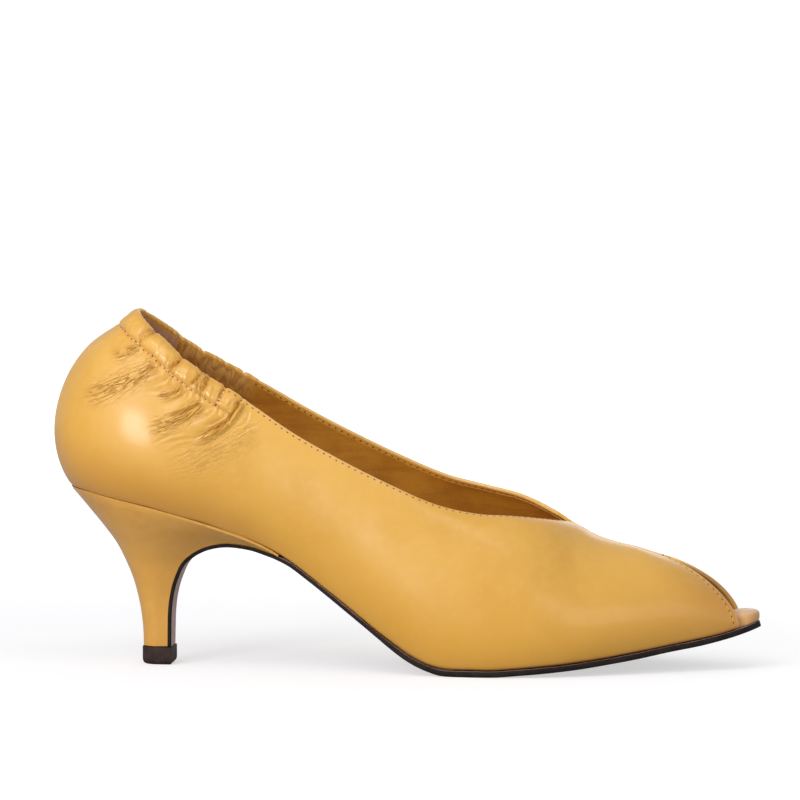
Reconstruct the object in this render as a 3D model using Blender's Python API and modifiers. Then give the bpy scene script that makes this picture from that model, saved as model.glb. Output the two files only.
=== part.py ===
"""Peep toe pump with an elasticated collar and a covered kitten heel: a right shoe.

The origin is the centre of the heel's floor face, +X points to the toe, +Z is up and the shoe's outer
side is at -Y. The upper is a strip of leather that runs from the toe round the outer side, round the
heel and back along the inner side. Each section of the strip is a curve from the feather line, where
upper and sole meet, to the collar or to the ridge of the vamp.
"""
import math
from collections import namedtuple

import bmesh
import bpy
import numpy as np

# Driving dimensions, in metres.
LENGTH = 0.240            # back of the counter to the tip of the sole
BALL_WIDTH = 0.074        # sole across the ball
SEAT_WIDTH = 0.0515       # heel seat at its widest
HEEL_HEIGHT = 0.061       # floor to the back edge of the heel seat
TOE_SPRING = 0.0143       # floor to the underside of the tip
TIP_SWING = 0.002         # how far the tip lies towards the inner side
COLLAR_RISE = 0.0601      # heel seat to the collar at the back
VAMP_RISE = 0.0440        # sole to the ridge at the throat
MEDIAL_LIFT = 0.0063      # how much higher the topline runs on the inner side
WALL = 0.0016             # leather and lining of the upper
SOLE_THICKNESS = 0.0020   # outsole under the forefoot
WAIST_THICKNESS = 0.0013  # outsole under the arch and down the heel breast
INSOLE_THICKNESS = 0.0042
TOE_PAD = 0.0016           # how much thicker the insole is behind its tip
CASING_WIDTH = 0.0080     # gathered tube that holds the collar's elastic
CASING_PUFF = 0.0021      # how far the tube stands out of the wall
STEM_LENGTH = 0.0102      # heel just above its top piece
STEM_WIDTH = 0.0128
STEM_BACK = 0.0292        # back of the stem behind the back of the counter
TOP_PIECE_HEIGHT = 0.0060
TOP_PIECE_LIP = 0.0004    # how far the top piece stands proud of the stem
TOP_PIECE_BEVEL = 0.0007
GAP = 0.0003              # between pieces that touch

# How finely the smooth forms are cut.
COLLAR_STEPS = 6
VAMP_STEPS = 2
BODY_ROWS = 9
BAND_ROWS = (0.0, 0.12, 0.32, 0.55, 0.78, 0.93, 1.0)
ARC_SAMPLES = 48
HEEL_STEPS = 2

# The bottom line: height of the feather line above the forefoot's, as a share of the heel's
# (lift) and of the toe spring (spring). It is flat under the ball.
Bottom = namedtuple("Bottom", "along lift spring")
BOTTOM = (
    Bottom(0.019, 1.000, 0.00),
    Bottom(0.050, 0.984, 0.00),
    Bottom(0.083, 0.956, 0.00),
    Bottom(0.133, 0.912, 0.00),
    Bottom(0.188, 0.853, 0.00),
    Bottom(0.250, 0.775, 0.00),
    Bottom(0.300, 0.695, 0.00),
    Bottom(0.333, 0.618, 0.00),
    Bottom(0.367, 0.520, 0.00),
    Bottom(0.400, 0.417, 0.00),
    Bottom(0.433, 0.312, 0.00),
    Bottom(0.467, 0.206, 0.00),
    Bottom(0.492, 0.129, 0.00),
    Bottom(0.517, 0.065, 0.00),
    Bottom(0.542, 0.022, 0.00),
    Bottom(0.567, 0.000, 0.00),
    Bottom(0.625, 0.000, 0.00),
    Bottom(0.667, 0.000, 0.045),
    Bottom(0.708, 0.000, 0.10),
    Bottom(0.750, 0.000, 0.17),
    Bottom(0.792, 0.000, 0.265),
    Bottom(0.833, 0.000, 0.37),
    Bottom(0.875, 0.000, 0.50),
    Bottom(0.917, 0.000, 0.615),
    Bottom(0.958, 0.000, 0.775),
    Bottom(1.000, 0.000, 1.00),
)

# The upper's sections, from the back of the heel to the cut edge at the toe. Foot is the feather
# line and top the collar or ridge: along is a share of LENGTH, outer and inner are shares of the
# width, rise of the height, and lift of MEDIAL_LIFT. Turn is how far the section faces backwards, in
# degrees. The section leaves its foot by low_out and low_up, and reaches its top from high_out and
# high_drop, which are shares of its rise. Lean is how far that last handle leans to the foot.
Section = namedtuple("Section", "foot outer inner top top_outer top_inner rise lift turn "
                                "low_out low_up high_out high_drop lean")
SECTIONS = (
    Section(0.019, 0.000, 0.000, 0.114, 0.000, 0.000, 1.000, 0.00, 90, 0.20, 0.25, 0.50, 0.23, 0.00),
    Section(0.027, 0.175, 0.175, 0.119, 0.117, 0.117, 1.000, 0.00, 66, 0.19, 0.25, 0.43, 0.23, 0.00),
    Section(0.048, 0.322, 0.318, 0.129, 0.217, 0.217, 0.978, 0.00, 45, 0.19, 0.26, 0.34, 0.24, 0.00),
    Section(0.083, 0.427, 0.419, 0.153, 0.307, 0.310, 0.940, 0.04, 26, 0.18, 0.28, 0.26, 0.25, 0.05),
    Section(0.133, 0.489, 0.474, 0.188, 0.384, 0.388, 0.877, 0.20, 12, 0.20, 0.30, 0.20, 0.26, 0.15),
    Section(0.188, 0.501, 0.474, 0.233, 0.435, 0.435, 0.832, 0.36, 4, 0.20, 0.32, 0.16, 0.28, 0.25),
    Section(0.250, 0.491, 0.443, 0.288, 0.478, 0.466, 0.788, 0.54, 0, 0.19, 0.33, 0.14, 0.28, 0.33),
    Section(0.325, 0.436, 0.348, 0.350, 0.472, 0.454, 0.779, 0.72, 0, 0.20, 0.32, 0.14, 0.27, 0.33),
    Section(0.400, 0.399, 0.293, 0.417, 0.427, 0.408, 0.888, 0.76, 0, 0.20, 0.27, 0.14, 0.22, 0.33),
    Section(0.475, 0.409, 0.319, 0.483, 0.390, 0.381, 1.040, 0.79, 0, 0.20, 0.25, 0.15, 0.18, 0.33),
    Section(0.542, 0.464, 0.389, 0.546, 0.373, 0.376, 1.127, 0.85, 0, 0.19, 0.26, 0.18, 0.14, 0.33),
    Section(0.608, 0.500, 0.454, 0.604, 0.330, 0.335, 1.111, 0.89, 0, 0.19, 0.29, 0.22, 0.09, 0.33),
    Section(0.667, 0.503, 0.495, 0.658, 0.249, 0.251, 1.097, 0.66, 0, 0.20, 0.31, 0.27, 0.05, 0.33),
    Section(0.712, 0.484, 0.495, 0.704, 0.130, 0.132, 1.058, 0.27, -4, 0.22, 0.34, 0.34, 0.01, 0.33),
    Section(0.754, 0.442, 0.469, 0.738, 0.000, 0.000, 1.006, 0.00, -8, 0.24, 0.37, 0.42, 0.02, 0.33),
    Section(0.800, 0.381, 0.419, 0.767, 0.000, 0.000, 0.884, 0.00, -14, 0.24, 0.41, 0.45, 0.03, 0.33),
    Section(0.846, 0.312, 0.351, 0.794, 0.000, 0.000, 0.792, 0.00, -20, 0.22, 0.44, 0.43, 0.03, 0.35),
    Section(0.892, 0.243, 0.270, 0.819, 0.000, 0.000, 0.714, 0.00, -24, 0.18, 0.46, 0.38, 0.03, 0.37),
    Section(0.932, 0.185, 0.198, 0.842, 0.000, 0.000, 0.622, 0.15, -26, 0.13, 0.46, 0.29, 0.06, 0.42),
    Section(0.956, 0.149, 0.155, 0.856, 0.000, 0.000, 0.560, 0.30, -26, 0.09, 0.41, 0.16, 0.12, 0.48),
    Section(0.974, 0.122, 0.122, 0.866, 0.000, 0.000, 0.508, 0.42, -24, 0.05, 0.35, 0.03, 0.18, 0.53),
)
THROAT = 14  # the section where both toplines meet
LAST = len(SECTIONS) - 1

# The tip of sole and insole, in front of the upper's last section.
Tip = namedtuple("Tip", "along half")
TIP = (Tip(0.985, 0.098), Tip(0.992, 0.070), Tip(0.998, 0.035))

# Where the collar's tube is pinched by its elastic: along is measured on the top edge from the
# back, as a share of LENGTH and negative on the outer side, width is the pinch's half width as a
# share of the tube's, and depth is how much of the puff it takes away.
Fold = namedtuple("Fold", "along width depth")
FOLDS = (
    Fold(-0.243, 0.20, 0.85),
    Fold(-0.211, 0.18, 0.70),
    Fold(-0.187, 0.16, 0.80),
    Fold(-0.171, 0.20, 0.90),
    Fold(-0.135, 0.24, 0.95),
    Fold(-0.077, 0.24, 0.90),
    Fold(0.000, 0.90, 0.55),
    Fold(0.045, 0.22, 0.75),
    Fold(0.110, 0.24, 0.90),
    Fold(0.156, 0.24, 0.95),
    Fold(0.190, 0.20, 0.70),
    Fold(0.227, 0.24, 0.90),
)
CASING_ENDS = (-0.252, 0.243)
CASING_FADE = 0.012

# The covered heel, from its top piece to just under the seat. Breast is the outer face of the sole
# where it runs down the heel's front, and back the heel's rear profile: their places are shares of
# LENGTH. Their rises are shares of the way from the top piece, to the sole at the front of the seat
# and to HEEL_HEIGHT. Half is how far the half width has gone from the stem's to the seat's, flare
# the same at the breast, and camber how much of the seat's curve the section takes.
HeelSection = namedtuple("HeelSection", "breast breast_rise back back_rise half flare camber")
HEEL = (
    HeelSection(0.1642, 0.000, 0.1217, 0.000, 0.00, 0.00, 0.00),
    HeelSection(0.1646, 0.184, 0.1210, 0.102, 0.02, 0.02, 0.00),
    HeelSection(0.1654, 0.369, 0.1185, 0.204, 0.05, 0.04, 0.00),
    HeelSection(0.1683, 0.543, 0.1142, 0.304, 0.10, 0.07, 0.00),
    HeelSection(0.1746, 0.714, 0.1075, 0.413, 0.18, 0.12, 0.00),
    HeelSection(0.1867, 0.893, 0.0970, 0.527, 0.31, 0.20, 0.05),
    HeelSection(0.2125, 1.029, 0.0835, 0.643, 0.52, 0.35, 0.18),
    HeelSection(0.2446, 1.090, 0.0660, 0.749, 0.73, 0.54, 0.36),
    HeelSection(0.2800, 1.075, 0.0480, 0.846, 0.88, 0.74, 0.60),
    HeelSection(0.3060, 1.026, 0.0310, 0.935, 0.97, 0.90, 0.85),
    HeelSection(0.3229, 0.983, 0.0215, 0.982, 0.99, 0.99, 0.97),
)
SEAT_SECTION = 7  # the upper's section over the front of the heel
STEM_ROUND = 0.62  # share of the stem's length that its rounded back takes

LEATHER = (0.75, 0.40, 0.095)
INSOLE_LEATHER = (0.70, 0.42, 0.16)
DARK_LEATHER = (0.045, 0.028, 0.022)
DARK_RUBBER = (0.050, 0.030, 0.024)


def smoothstep(low, high, value):
    share = np.clip((value - low) / (high - low), 0.0, 1.0)
    return share * share * (3.0 - 2.0 * share)


def monotone(xs, ys):
    """A smooth curve through rows of a table that never swings past them."""
    xs, ys = np.asarray(xs, float), np.asarray(ys, float)
    step = np.diff(xs)
    slope = np.diff(ys) / step
    tangent = np.concatenate(([slope[0]], np.zeros(len(xs) - 2), [slope[-1]]))
    for i in range(1, len(xs) - 1):
        if slope[i - 1] * slope[i] > 0:
            before, after = 2 * step[i] + step[i - 1], step[i] + 2 * step[i - 1]
            tangent[i] = (before + after) / (before / slope[i - 1] + after / slope[i])

    def value(x):
        i = int(np.clip(np.searchsorted(xs, x) - 1, 0, len(xs) - 2))
        t = float(np.clip((x - xs[i]) / step[i], 0.0, 1.0))
        return (ys[i] * (1 + 2 * t) * (1 - t) ** 2 + step[i] * tangent[i] * t * (1 - t) ** 2
                + ys[i + 1] * t * t * (3 - 2 * t) - step[i] * tangent[i + 1] * t * t * (1 - t))

    return value


def through(points, t):
    """A point of the smooth curve through points, t of them along it."""
    points = np.asarray(points, float)
    i = int(np.clip(math.floor(t), 0, len(points) - 2))
    s = t - i
    a, b = points[i], points[i + 1]
    before = points[i - 1] if i > 0 else 2 * a - b
    after = points[i + 2] if i + 2 < len(points) else 2 * b - a
    return 0.5 * (2 * a + (b - before) * s + (2 * before - 5 * a + 4 * b - after) * s * s
                  + (3 * a - before - 3 * b + after) * s ** 3)


LIFT_SHARE = monotone([r.along for r in BOTTOM], [r.lift for r in BOTTOM])
SPRING_SHARE = monotone([r.along for r in BOTTOM], [r.spring for r in BOTTOM])


def feather_height(x):
    """Height of the feather line, x metres in front of the back of the counter."""
    along = x / LENGTH
    return (SOLE_THICKNESS + LIFT_SHARE(along) * (HEEL_HEIGHT - SOLE_THICKNESS)
            + SPRING_SHARE(along) * TOE_SPRING)


def centre_line(x):
    return TIP_SWING * smoothstep(0.6, 1.0, x / LENGTH)


def width_scale(along):
    return SEAT_WIDTH + (BALL_WIDTH - SEAT_WIDTH) * smoothstep(0.25, 0.50, along)


def section_handles(row, side):
    """The four handles of one section's curve, from feather line to top."""
    outer = side < 0
    width = width_scale(row.foot)
    foot_x, top_x = row.foot * LENGTH, row.top * LENGTH
    foot_out = (row.outer if outer else row.inner) * width
    top_out = (row.top_outer if outer else row.top_inner) * width
    reach = np.clip(row.foot / SECTIONS[THROAT].foot, 0.0, 1.0)
    rise = row.rise * (COLLAR_RISE + (VAMP_RISE - COLLAR_RISE) * reach)
    rise += 0.0 if outer else row.lift * MEDIAL_LIFT
    foot_z = feather_height(foot_x) + GAP
    out = np.array([-math.sin(math.radians(row.turn)), side * math.cos(math.radians(row.turn)), 0.0])
    across = out if row.turn > 0 else np.array([0.0, side, 0.0])
    foot = np.array([foot_x, centre_line(foot_x) + side * foot_out, foot_z])
    top = np.array([top_x, centre_line(top_x) + side * top_out, foot_z + rise])
    low = foot + out * row.low_out * rise + np.array([0.0, 0.0, row.low_up * rise])
    high = top + across * row.high_out * rise
    high += np.array([row.lean * (foot_x - top_x), 0.0, -row.high_drop * rise])
    return np.array([foot, low, high, top])


def strip_handles():
    """Handles of every section along the strip: outer toe, heel, inner toe."""
    outer = [section_handles(row, -1) for row in reversed(SECTIONS[1:])]
    inner = [section_handles(row, 1) for row in SECTIONS[1:]]
    return np.array(outer + [section_handles(SECTIONS[0], -1)] + inner)


def strip_stations():
    """Where the strip is cut: closer together round the collar than along the vamp."""
    stations = []
    for i in range(2 * LAST):
        from_back = max(abs(i - LAST), abs(i + 1 - LAST))
        steps = COLLAR_STEPS if from_back <= 6 else VAMP_STEPS
        stations += [i + k / steps for k in range(steps)]
    return stations + [2 * LAST]


def bezier(handles, t):
    a, b, c, d = handles
    return a * (1 - t) ** 3 + 3 * b * t * (1 - t) ** 2 + 3 * c * t * t * (1 - t) + d * t ** 3


def column(handles):
    """Points up one section: even rows to the casing's seam, then the casing's own rows."""
    ts = np.linspace(0.0, 1.0, ARC_SAMPLES)
    curve = np.array([bezier(handles, t) for t in ts])
    run = np.concatenate(([0.0], np.cumsum(np.linalg.norm(np.diff(curve, axis=0), axis=1))))
    seam = run[-1] - CASING_WIDTH
    wanted = [seam * k / BODY_ROWS for k in range(BODY_ROWS)]
    wanted += [seam + CASING_WIDTH * share for share in BAND_ROWS]
    return np.array([bezier(handles, t) for t in np.interp(wanted, run, ts)])


def strip_grid():
    """Points of the upper's outer face, [station][row], and the station of each column."""
    handles = strip_handles()
    stations = strip_stations()
    net = np.array([through(handles, s) for s in stations])
    for i, station in enumerate(stations):
        from_back = abs(station - LAST)
        if from_back >= THROAT:
            mirror = len(stations) - 1 - i
            ridge = 0.5 * (net[i, 3] + net[mirror, 3])
            ridge[1] = centre_line(ridge[0])
            net[i, 3] = net[mirror, 3] = ridge
    return np.array([column(h) for h in net]), stations


def casing_fullness(grid, stations):
    """How full the collar's tube is at each station: 0 beyond its ends and at its pinches."""
    edge = grid[:, -1]
    run = np.concatenate(([0.0], np.cumsum(np.linalg.norm(np.diff(edge, axis=0), axis=1))))
    along = (run - run[stations.index(LAST)]) / LENGTH
    full = smoothstep(CASING_ENDS[0] - CASING_FADE, CASING_ENDS[0] + CASING_FADE, along)
    full *= smoothstep(-CASING_ENDS[1] - CASING_FADE, -CASING_ENDS[1] + CASING_FADE, -along)
    for fold in FOLDS:
        half = fold.width * CASING_WIDTH / LENGTH
        full *= 1.0 - fold.depth * np.exp(-((along - fold.along) / half) ** 2)
    return full


def grid_normals(grid):
    """Outward normals of a grid of points."""
    along = np.gradient(grid, axis=0)
    up = np.gradient(grid, axis=1)
    normal = np.cross(up, along)
    return normal / np.linalg.norm(normal, axis=2, keepdims=True)


def puffed_grid():
    """The upper's outer face with its casing, and the wall at each of its points."""
    grid, stations = strip_grid()
    full = casing_fullness(grid, stations)
    profile = np.zeros(grid.shape[1])
    profile[BODY_ROWS:] = [max(math.sin(math.pi * share), 0.0) ** 0.7 for share in BAND_ROWS]
    profile[-1] = 0.3
    puff = CASING_PUFF * full[:, None] * profile[None, :]
    return grid + grid_normals(grid) * puff[..., None], WALL + 1.4 * puff


def material(name, colour, roughness):
    made = bpy.data.materials.new(name)
    made.use_nodes = True
    surface = made.node_tree.nodes["Principled BSDF"]
    surface.inputs["Base Color"].default_value = (*colour, 1.0)
    surface.inputs["Roughness"].default_value = roughness
    surface.inputs["Metallic"].default_value = 0.0
    return made


def add_object(name, shape, finish):
    """An object of the shoe, moved so that the middle of the heel's floor face is the origin."""
    rest = STEM_BACK + STEM_LENGTH / 2
    bmesh.ops.translate(shape, vec=(-rest, 0.0, 0.0), verts=shape.verts)
    mesh = bpy.data.meshes.new(name)
    shape.to_mesh(mesh)
    shape.free()
    mesh.materials.append(finish)
    mesh.shade_smooth()
    mesh.set_sharp_from_angle(angle=math.radians(38))
    made = bpy.data.objects.new(name, mesh)
    SHOE.objects.link(made)
    return made


def make_upper():
    """The one-piece upper: an open strip, closed along the ridge of the vamp and given its wall."""
    grid, wall = puffed_grid()
    columns, rows = grid.shape[:2]
    thickest = float(wall.max())
    shape = bmesh.new()
    weight = shape.verts.layers.deform.verify()
    verts = [[shape.verts.new(grid[i, j]) for j in range(rows)] for i in range(columns)]
    for i in range(columns):
        for j in range(rows):
            verts[i][j][weight][0] = float(wall[i, j]) / thickest
    for i in range(columns - 1):
        for j in range(rows - 1):
            shape.faces.new((verts[i][j], verts[i][j + 1], verts[i + 1][j + 1], verts[i + 1][j]))
    bmesh.ops.remove_doubles(shape, verts=shape.verts, dist=1e-6)
    upper = add_object("upper", shape, material("upper_leather", LEATHER, 0.42))
    upper.vertex_groups.new(name="wall")
    shell = upper.modifiers.new("wall", "SOLIDIFY")
    shell.thickness = thickest
    shell.offset = -1.0
    shell.vertex_group = "wall"
    return upper


def edge_line(side):
    """The feather line seen from above: one point a section, then the tip of the sole."""
    rows = [(r.foot, r.outer if side < 0 else r.inner) for r in SECTIONS]
    rows += [(r.along, r.half) for r in TIP] + [(1.0, 0.0)]
    return [(f * LENGTH, centre_line(f * LENGTH) + side * w * width_scale(f)) for f, w in rows]


def feather_outline(first, steps, inset):
    """Outer and inner points of the feather line from a section to the tip, drawn in by inset(x)."""
    found = {}
    nudge = 0.02
    for side in (-1, 1):
        line = edge_line(side)
        other = edge_line(-side)
        whole = np.array(other[:0:-1] + line)
        last = len(line) - 1
        whole = np.vstack([whole, line[-2][:1] + (2 * centre_line(LENGTH) - line[-2][1],)])
        points = []
        for k in range(int(round((last - first) * steps)) + 1):
            at = last + first + k / steps
            here = through(whole, at)
            run = through(whole, at + nudge) - through(whole, at - nudge)
            out = np.array([-run[1], run[0]]) / np.linalg.norm(run) * side
            points.append(here - out * inset(here[0]))
        found[side] = np.array(points)
    return found[-1], found[1]


def skin(name, rings, finish):
    """A solid through closed rings of points. Each end is closed by pairing opposite points."""
    shape = bmesh.new()
    verts = [[shape.verts.new(p) for p in ring] for ring in rings]
    count = len(rings[0])
    for a, b in zip(verts, verts[1:]):
        for k in range(count):
            n = (k + 1) % count
            shape.faces.new((a[k], a[n], b[n], b[k]))
    for end in (verts[0], verts[-1]):
        for k in range(count // 2 - 1):
            shape.faces.new((end[k], end[k + 1], end[count - 2 - k], end[count - 1 - k]))
    bmesh.ops.remove_doubles(shape, verts=shape.verts, dist=1e-6)
    bmesh.ops.recalc_face_normals(shape, faces=shape.faces)
    return add_object(name, shape, finish)


def ring_of(outer, inner):
    return list(outer) + list(inner[::-1])


def insole_thickness(x):
    """The insole is padded behind its tip and thins to its front edge."""
    pad = smoothstep(0.86, 0.94, x / LENGTH) * (1.0 - smoothstep(0.962, 1.0, x / LENGTH))
    return INSOLE_THICKNESS + TOE_PAD * pad


def make_insole():
    """The insole inside the upper, from the heel to the open toe, with a rounded edge."""
    def inset(x):
        return WALL + GAP + 0.0002 - 0.0021 * smoothstep(0.976, 0.994, x / LENGTH)

    rings = []
    levels = (
        (0.0, 0.0003), (0.12, 0.0), (0.50, 0.0), (0.76, 0.0006), (0.93, 0.0017), (1.0, 0.0038),
    )
    for height, draw in levels:
        sides = feather_outline(0, 2, lambda x, draw=draw: inset(x) + draw)
        ring = []
        for side in sides:
            lift = [feather_height(x) + GAP + height * insole_thickness(x) for x, y in side]
            ring.append([(x, y, z) for (x, y), z in zip(side, lift)])
        rings.append(ring_of(*ring))
    return skin("insole", rings, material("insole_leather", INSOLE_LEATHER, 0.45))


def stem_shape(u):
    """The stem's rounded section: share of its length and of its half width, u along its side."""
    if u < 0.6:
        turn = math.radians(90) * u / 0.6
        return STEM_ROUND * (1 - math.cos(turn)), math.sin(turn)
    return STEM_ROUND + (1 - STEM_ROUND) * (u - 0.6) / 0.4, 1.0


def sole_thickness(along):
    return WAIST_THICKNESS + (SOLE_THICKNESS - WAIST_THICKNESS) * smoothstep(0.42, 0.57, along)


def heel_level(rise, top):
    """Height of a point of the heel: a share of the way from just over the top piece to top."""
    stem = TOP_PIECE_HEIGHT + GAP
    return stem + rise * (top - stem)


def seat_half(side):
    """Half width of the seat at its front edge."""
    row = SECTIONS[SEAT_SECTION]
    return (row.outer if side < 0 else row.inner) * width_scale(row.foot)


def sole_path():
    """The sole's outer face from the top piece to the tip.

    Each row holds x, z, the outer and inner half widths, the thickness and the way to the inside.
    """
    rows = []
    stem = STEM_WIDTH / 2
    seat_front = feather_height(SECTIONS[SEAT_SECTION].foot * LENGTH) - WAIST_THICKNESS
    for row in HEEL:
        halves = [stem + row.flare * (seat_half(side) - stem) for side in (-1, 1)]
        rows.append([row.breast * LENGTH, heel_level(row.breast_rise, seat_front), *halves,
                     WAIST_THICKNESS, 0.0, 0.0])
    outer, inner = feather_outline(SEAT_SECTION + 0.25, 4, lambda x: 0.0)
    for (x, y), (_, far) in zip(outer, inner):
        slope = (feather_height(x + 1e-4) - feather_height(x - 1e-4)) / 2e-4
        down = np.array([slope, -1.0]) / math.hypot(slope, 1.0)
        thick = float(sole_thickness(x / LENGTH))
        lip = 0.0004 * float(smoothstep(0.34, 0.45, x / LENGTH))
        rows.append([x + down[0] * thick, feather_height(x) + down[1] * thick,
                     lip - y, lip + far, thick, -down[0], -down[1]])
    rows = np.array(rows)
    for i in range(len(HEEL)):
        run = through(rows[:, :2], i + 0.05) - through(rows[:, :2], max(i - 0.05, 0.0))
        rows[i, 5:] = np.array([-run[1], run[0]]) / np.linalg.norm(run)
    return rows


def on_sole_path(rows, at, share, extra=0.0):
    """A point at a share of the sole's thickness, 0 at its outer face, and its half widths."""
    x, z, left, right, thick, up_x, up_z = through(rows, at)
    rise = (thick * share + extra) / math.hypot(up_x, up_z)
    return np.array([x + up_x * rise, z + up_z * rise]), left, right


def sole_points(share, draw):
    """The two edges of the sole at a share of its thickness, drawn in."""
    rows = sole_path()
    breast = len(HEEL) - 1
    stops = [k / 2 for k in range(2 * breast)] + list(range(breast, len(rows)))
    outer, inner = [], []
    for at in stops:
        (x, z), left, right = on_sole_path(rows, at, share)
        middle, half = (right - left) / 2, max((left + right) / 2 - draw, 0.0)
        outer.append((x, middle - half, z))
        inner.append((x, middle + half, z))
    return outer, inner


def make_outsole():
    """The sole, which also runs down the front of the heel to the top piece."""
    levels = ((0.0, 0.0005), (0.22, 0.0), (1.0, 0.0001))
    rings = [ring_of(*sole_points(share, draw)) for share, draw in levels]
    return skin("outsole", rings, material("sole_leather", DARK_LEATHER, 0.5))


def make_heel():
    """The covered heel, cupped to the seat, narrow at its stem and open to the sole's breast."""
    seat = [side[:SEAT_SECTION * HEEL_STEPS + 1] for side in
            feather_outline(0, HEEL_STEPS, lambda x: 0.0)]
    back_x = seat[0][0][0]
    front_x = seat[0][-1][0]
    steps = len(seat[0]) - 1
    path = sole_path()
    rings = []
    for j in range(2 * len(HEEL) - 1):
        row = HeelSection(*through(HEEL, j / 2))
        breast = on_sole_path(path, j / 2, 1.0, GAP)[0]
        back = np.array([row.back * LENGTH, heel_level(row.back_rise, HEEL_HEIGHT)])
        sides = []
        for side, points in zip((-1, 1), seat):
            line = []
            for k, (x, y) in enumerate(points):
                u = k / steps
                stem_at, stem_half = stem_shape(u)
                seat_at = (x - back_x) / (front_x - back_x)
                share = row.half + (row.flare - row.half) * u ** 3
                at = stem_at + share * (seat_at - stem_at)
                half = STEM_WIDTH / 2 * stem_half
                half += share * (abs(y) - half)
                here = back + at * (breast - back)
                chord = feather_height(back_x)
                chord += seat_at * (feather_height(front_x) - chord)
                here[1] += row.camber * (feather_height(x) - chord)
                line.append((here[0], side * half, here[1]))
            sides.append(line)
        rings.append(ring_of(*sides))
    rings.append(ring_of(*[[(x, y, feather_height(x)) for x, y in points] for points in seat]))
    return skin("heel", rings, material("heel_leather", LEATHER, 0.42))


def make_top_piece():
    """The rubber top piece under the stem, with its lower edge bevelled."""
    steps = 12
    levels = ((0.0, TOP_PIECE_BEVEL), (TOP_PIECE_BEVEL, 0.0),
              (TOP_PIECE_HEIGHT - 0.0003, 0.0), (TOP_PIECE_HEIGHT, 0.0003))
    rings = []
    for height, draw in levels:
        half = STEM_WIDTH / 2 + TOP_PIECE_LIP - draw
        length = STEM_LENGTH + 2 * (TOP_PIECE_LIP - draw)
        start = STEM_BACK - TOP_PIECE_LIP + draw
        shape = [stem_shape(k / steps) for k in range(steps + 1)]
        outer = [(start + at * length, -wide * half, height) for at, wide in shape]
        inner = [(start + at * length, wide * half, height) for at, wide in shape]
        rings.append(ring_of(outer, inner))
    return skin("top_piece", rings, material("top_piece_rubber", DARK_RUBBER, 0.6))


for old in list(bpy.data.objects):
    bpy.data.objects.remove(old, do_unlink=True)
SHOE = bpy.data.collections.new("peep_toe_pump")
bpy.context.scene.collection.children.link(SHOE)
make_upper()
make_insole()
make_outsole()
make_heel()
make_top_piece()
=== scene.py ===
# %% [markdown]
# A peep toe pump with a gathered collar, right foot.
# The real shoe is a soft leather upper on a thin sole and a covered kitten heel. Its collar holds an
# elastic tape, which pulls the leather into small puffs, and the toe is open in a narrow slit.
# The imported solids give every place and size. This lesson lays finer leather, linings, stitches and
# finishes over them, in the same frame and in metres.

# %% Load the fixed frame
import math
import random
from collections import namedtuple

import bpy
import numpy as np
from mathutils import Matrix, Vector


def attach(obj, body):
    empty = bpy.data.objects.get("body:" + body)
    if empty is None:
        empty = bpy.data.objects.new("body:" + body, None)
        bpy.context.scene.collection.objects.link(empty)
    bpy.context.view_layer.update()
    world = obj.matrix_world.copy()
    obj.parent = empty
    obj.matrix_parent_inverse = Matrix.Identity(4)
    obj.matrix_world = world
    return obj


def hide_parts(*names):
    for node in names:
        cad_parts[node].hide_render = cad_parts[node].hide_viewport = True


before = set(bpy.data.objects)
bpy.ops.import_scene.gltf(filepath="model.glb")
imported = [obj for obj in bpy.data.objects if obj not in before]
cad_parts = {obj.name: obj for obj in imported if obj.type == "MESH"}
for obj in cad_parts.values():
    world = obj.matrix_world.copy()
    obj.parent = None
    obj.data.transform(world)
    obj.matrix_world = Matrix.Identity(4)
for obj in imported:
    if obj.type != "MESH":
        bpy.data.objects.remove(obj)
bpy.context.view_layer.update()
print("nodes:", sorted(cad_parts))

# %% [markdown]
# A shoe is drawn on a last, and its sizes are measured from the back of the heel. The same sizes that
# made the solids are repeated here, because the fine leather has to lie on them to a tenth of a
# millimetre. Only the heel's floor face is at the origin, so everything is shifted back at the end.

# %% Sizes of the shoe
MM = 0.001
LENGTH = 0.240
BALL_WIDTH = 0.074
SEAT_WIDTH = 0.0515
HEEL_HEIGHT = 0.061
TOE_SPRING = 0.0143
TIP_SWING = 0.002
COLLAR_RISE = 0.0601
VAMP_RISE = 0.0440
MEDIAL_LIFT = 0.0063
WALL = 0.0016
SOLE_THICKNESS = 0.0020
WAIST_THICKNESS = 0.0013
INSOLE_THICKNESS = 0.0042
TOE_PAD = 0.0016
CASING_WIDTH = 0.0080
CASING_PUFF = 0.0021
STEM_LENGTH = 0.0102
STEM_WIDTH = 0.0128
STEM_BACK = 0.0292
TOP_PIECE_HEIGHT = 0.0060
TOP_PIECE_LIP = 0.0004
GAP = 0.0003
REST = STEM_BACK + STEM_LENGTH / 2
print("heel rest lies", round(REST / MM, 1), "mm in front of the back")

# %% [markdown]
# The bottom line is the curve that the foot stands on: high under the heel, flat under the ball and
# sprung at the toe. It is a short table, read as a smooth curve that never swings past its rows.

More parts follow.
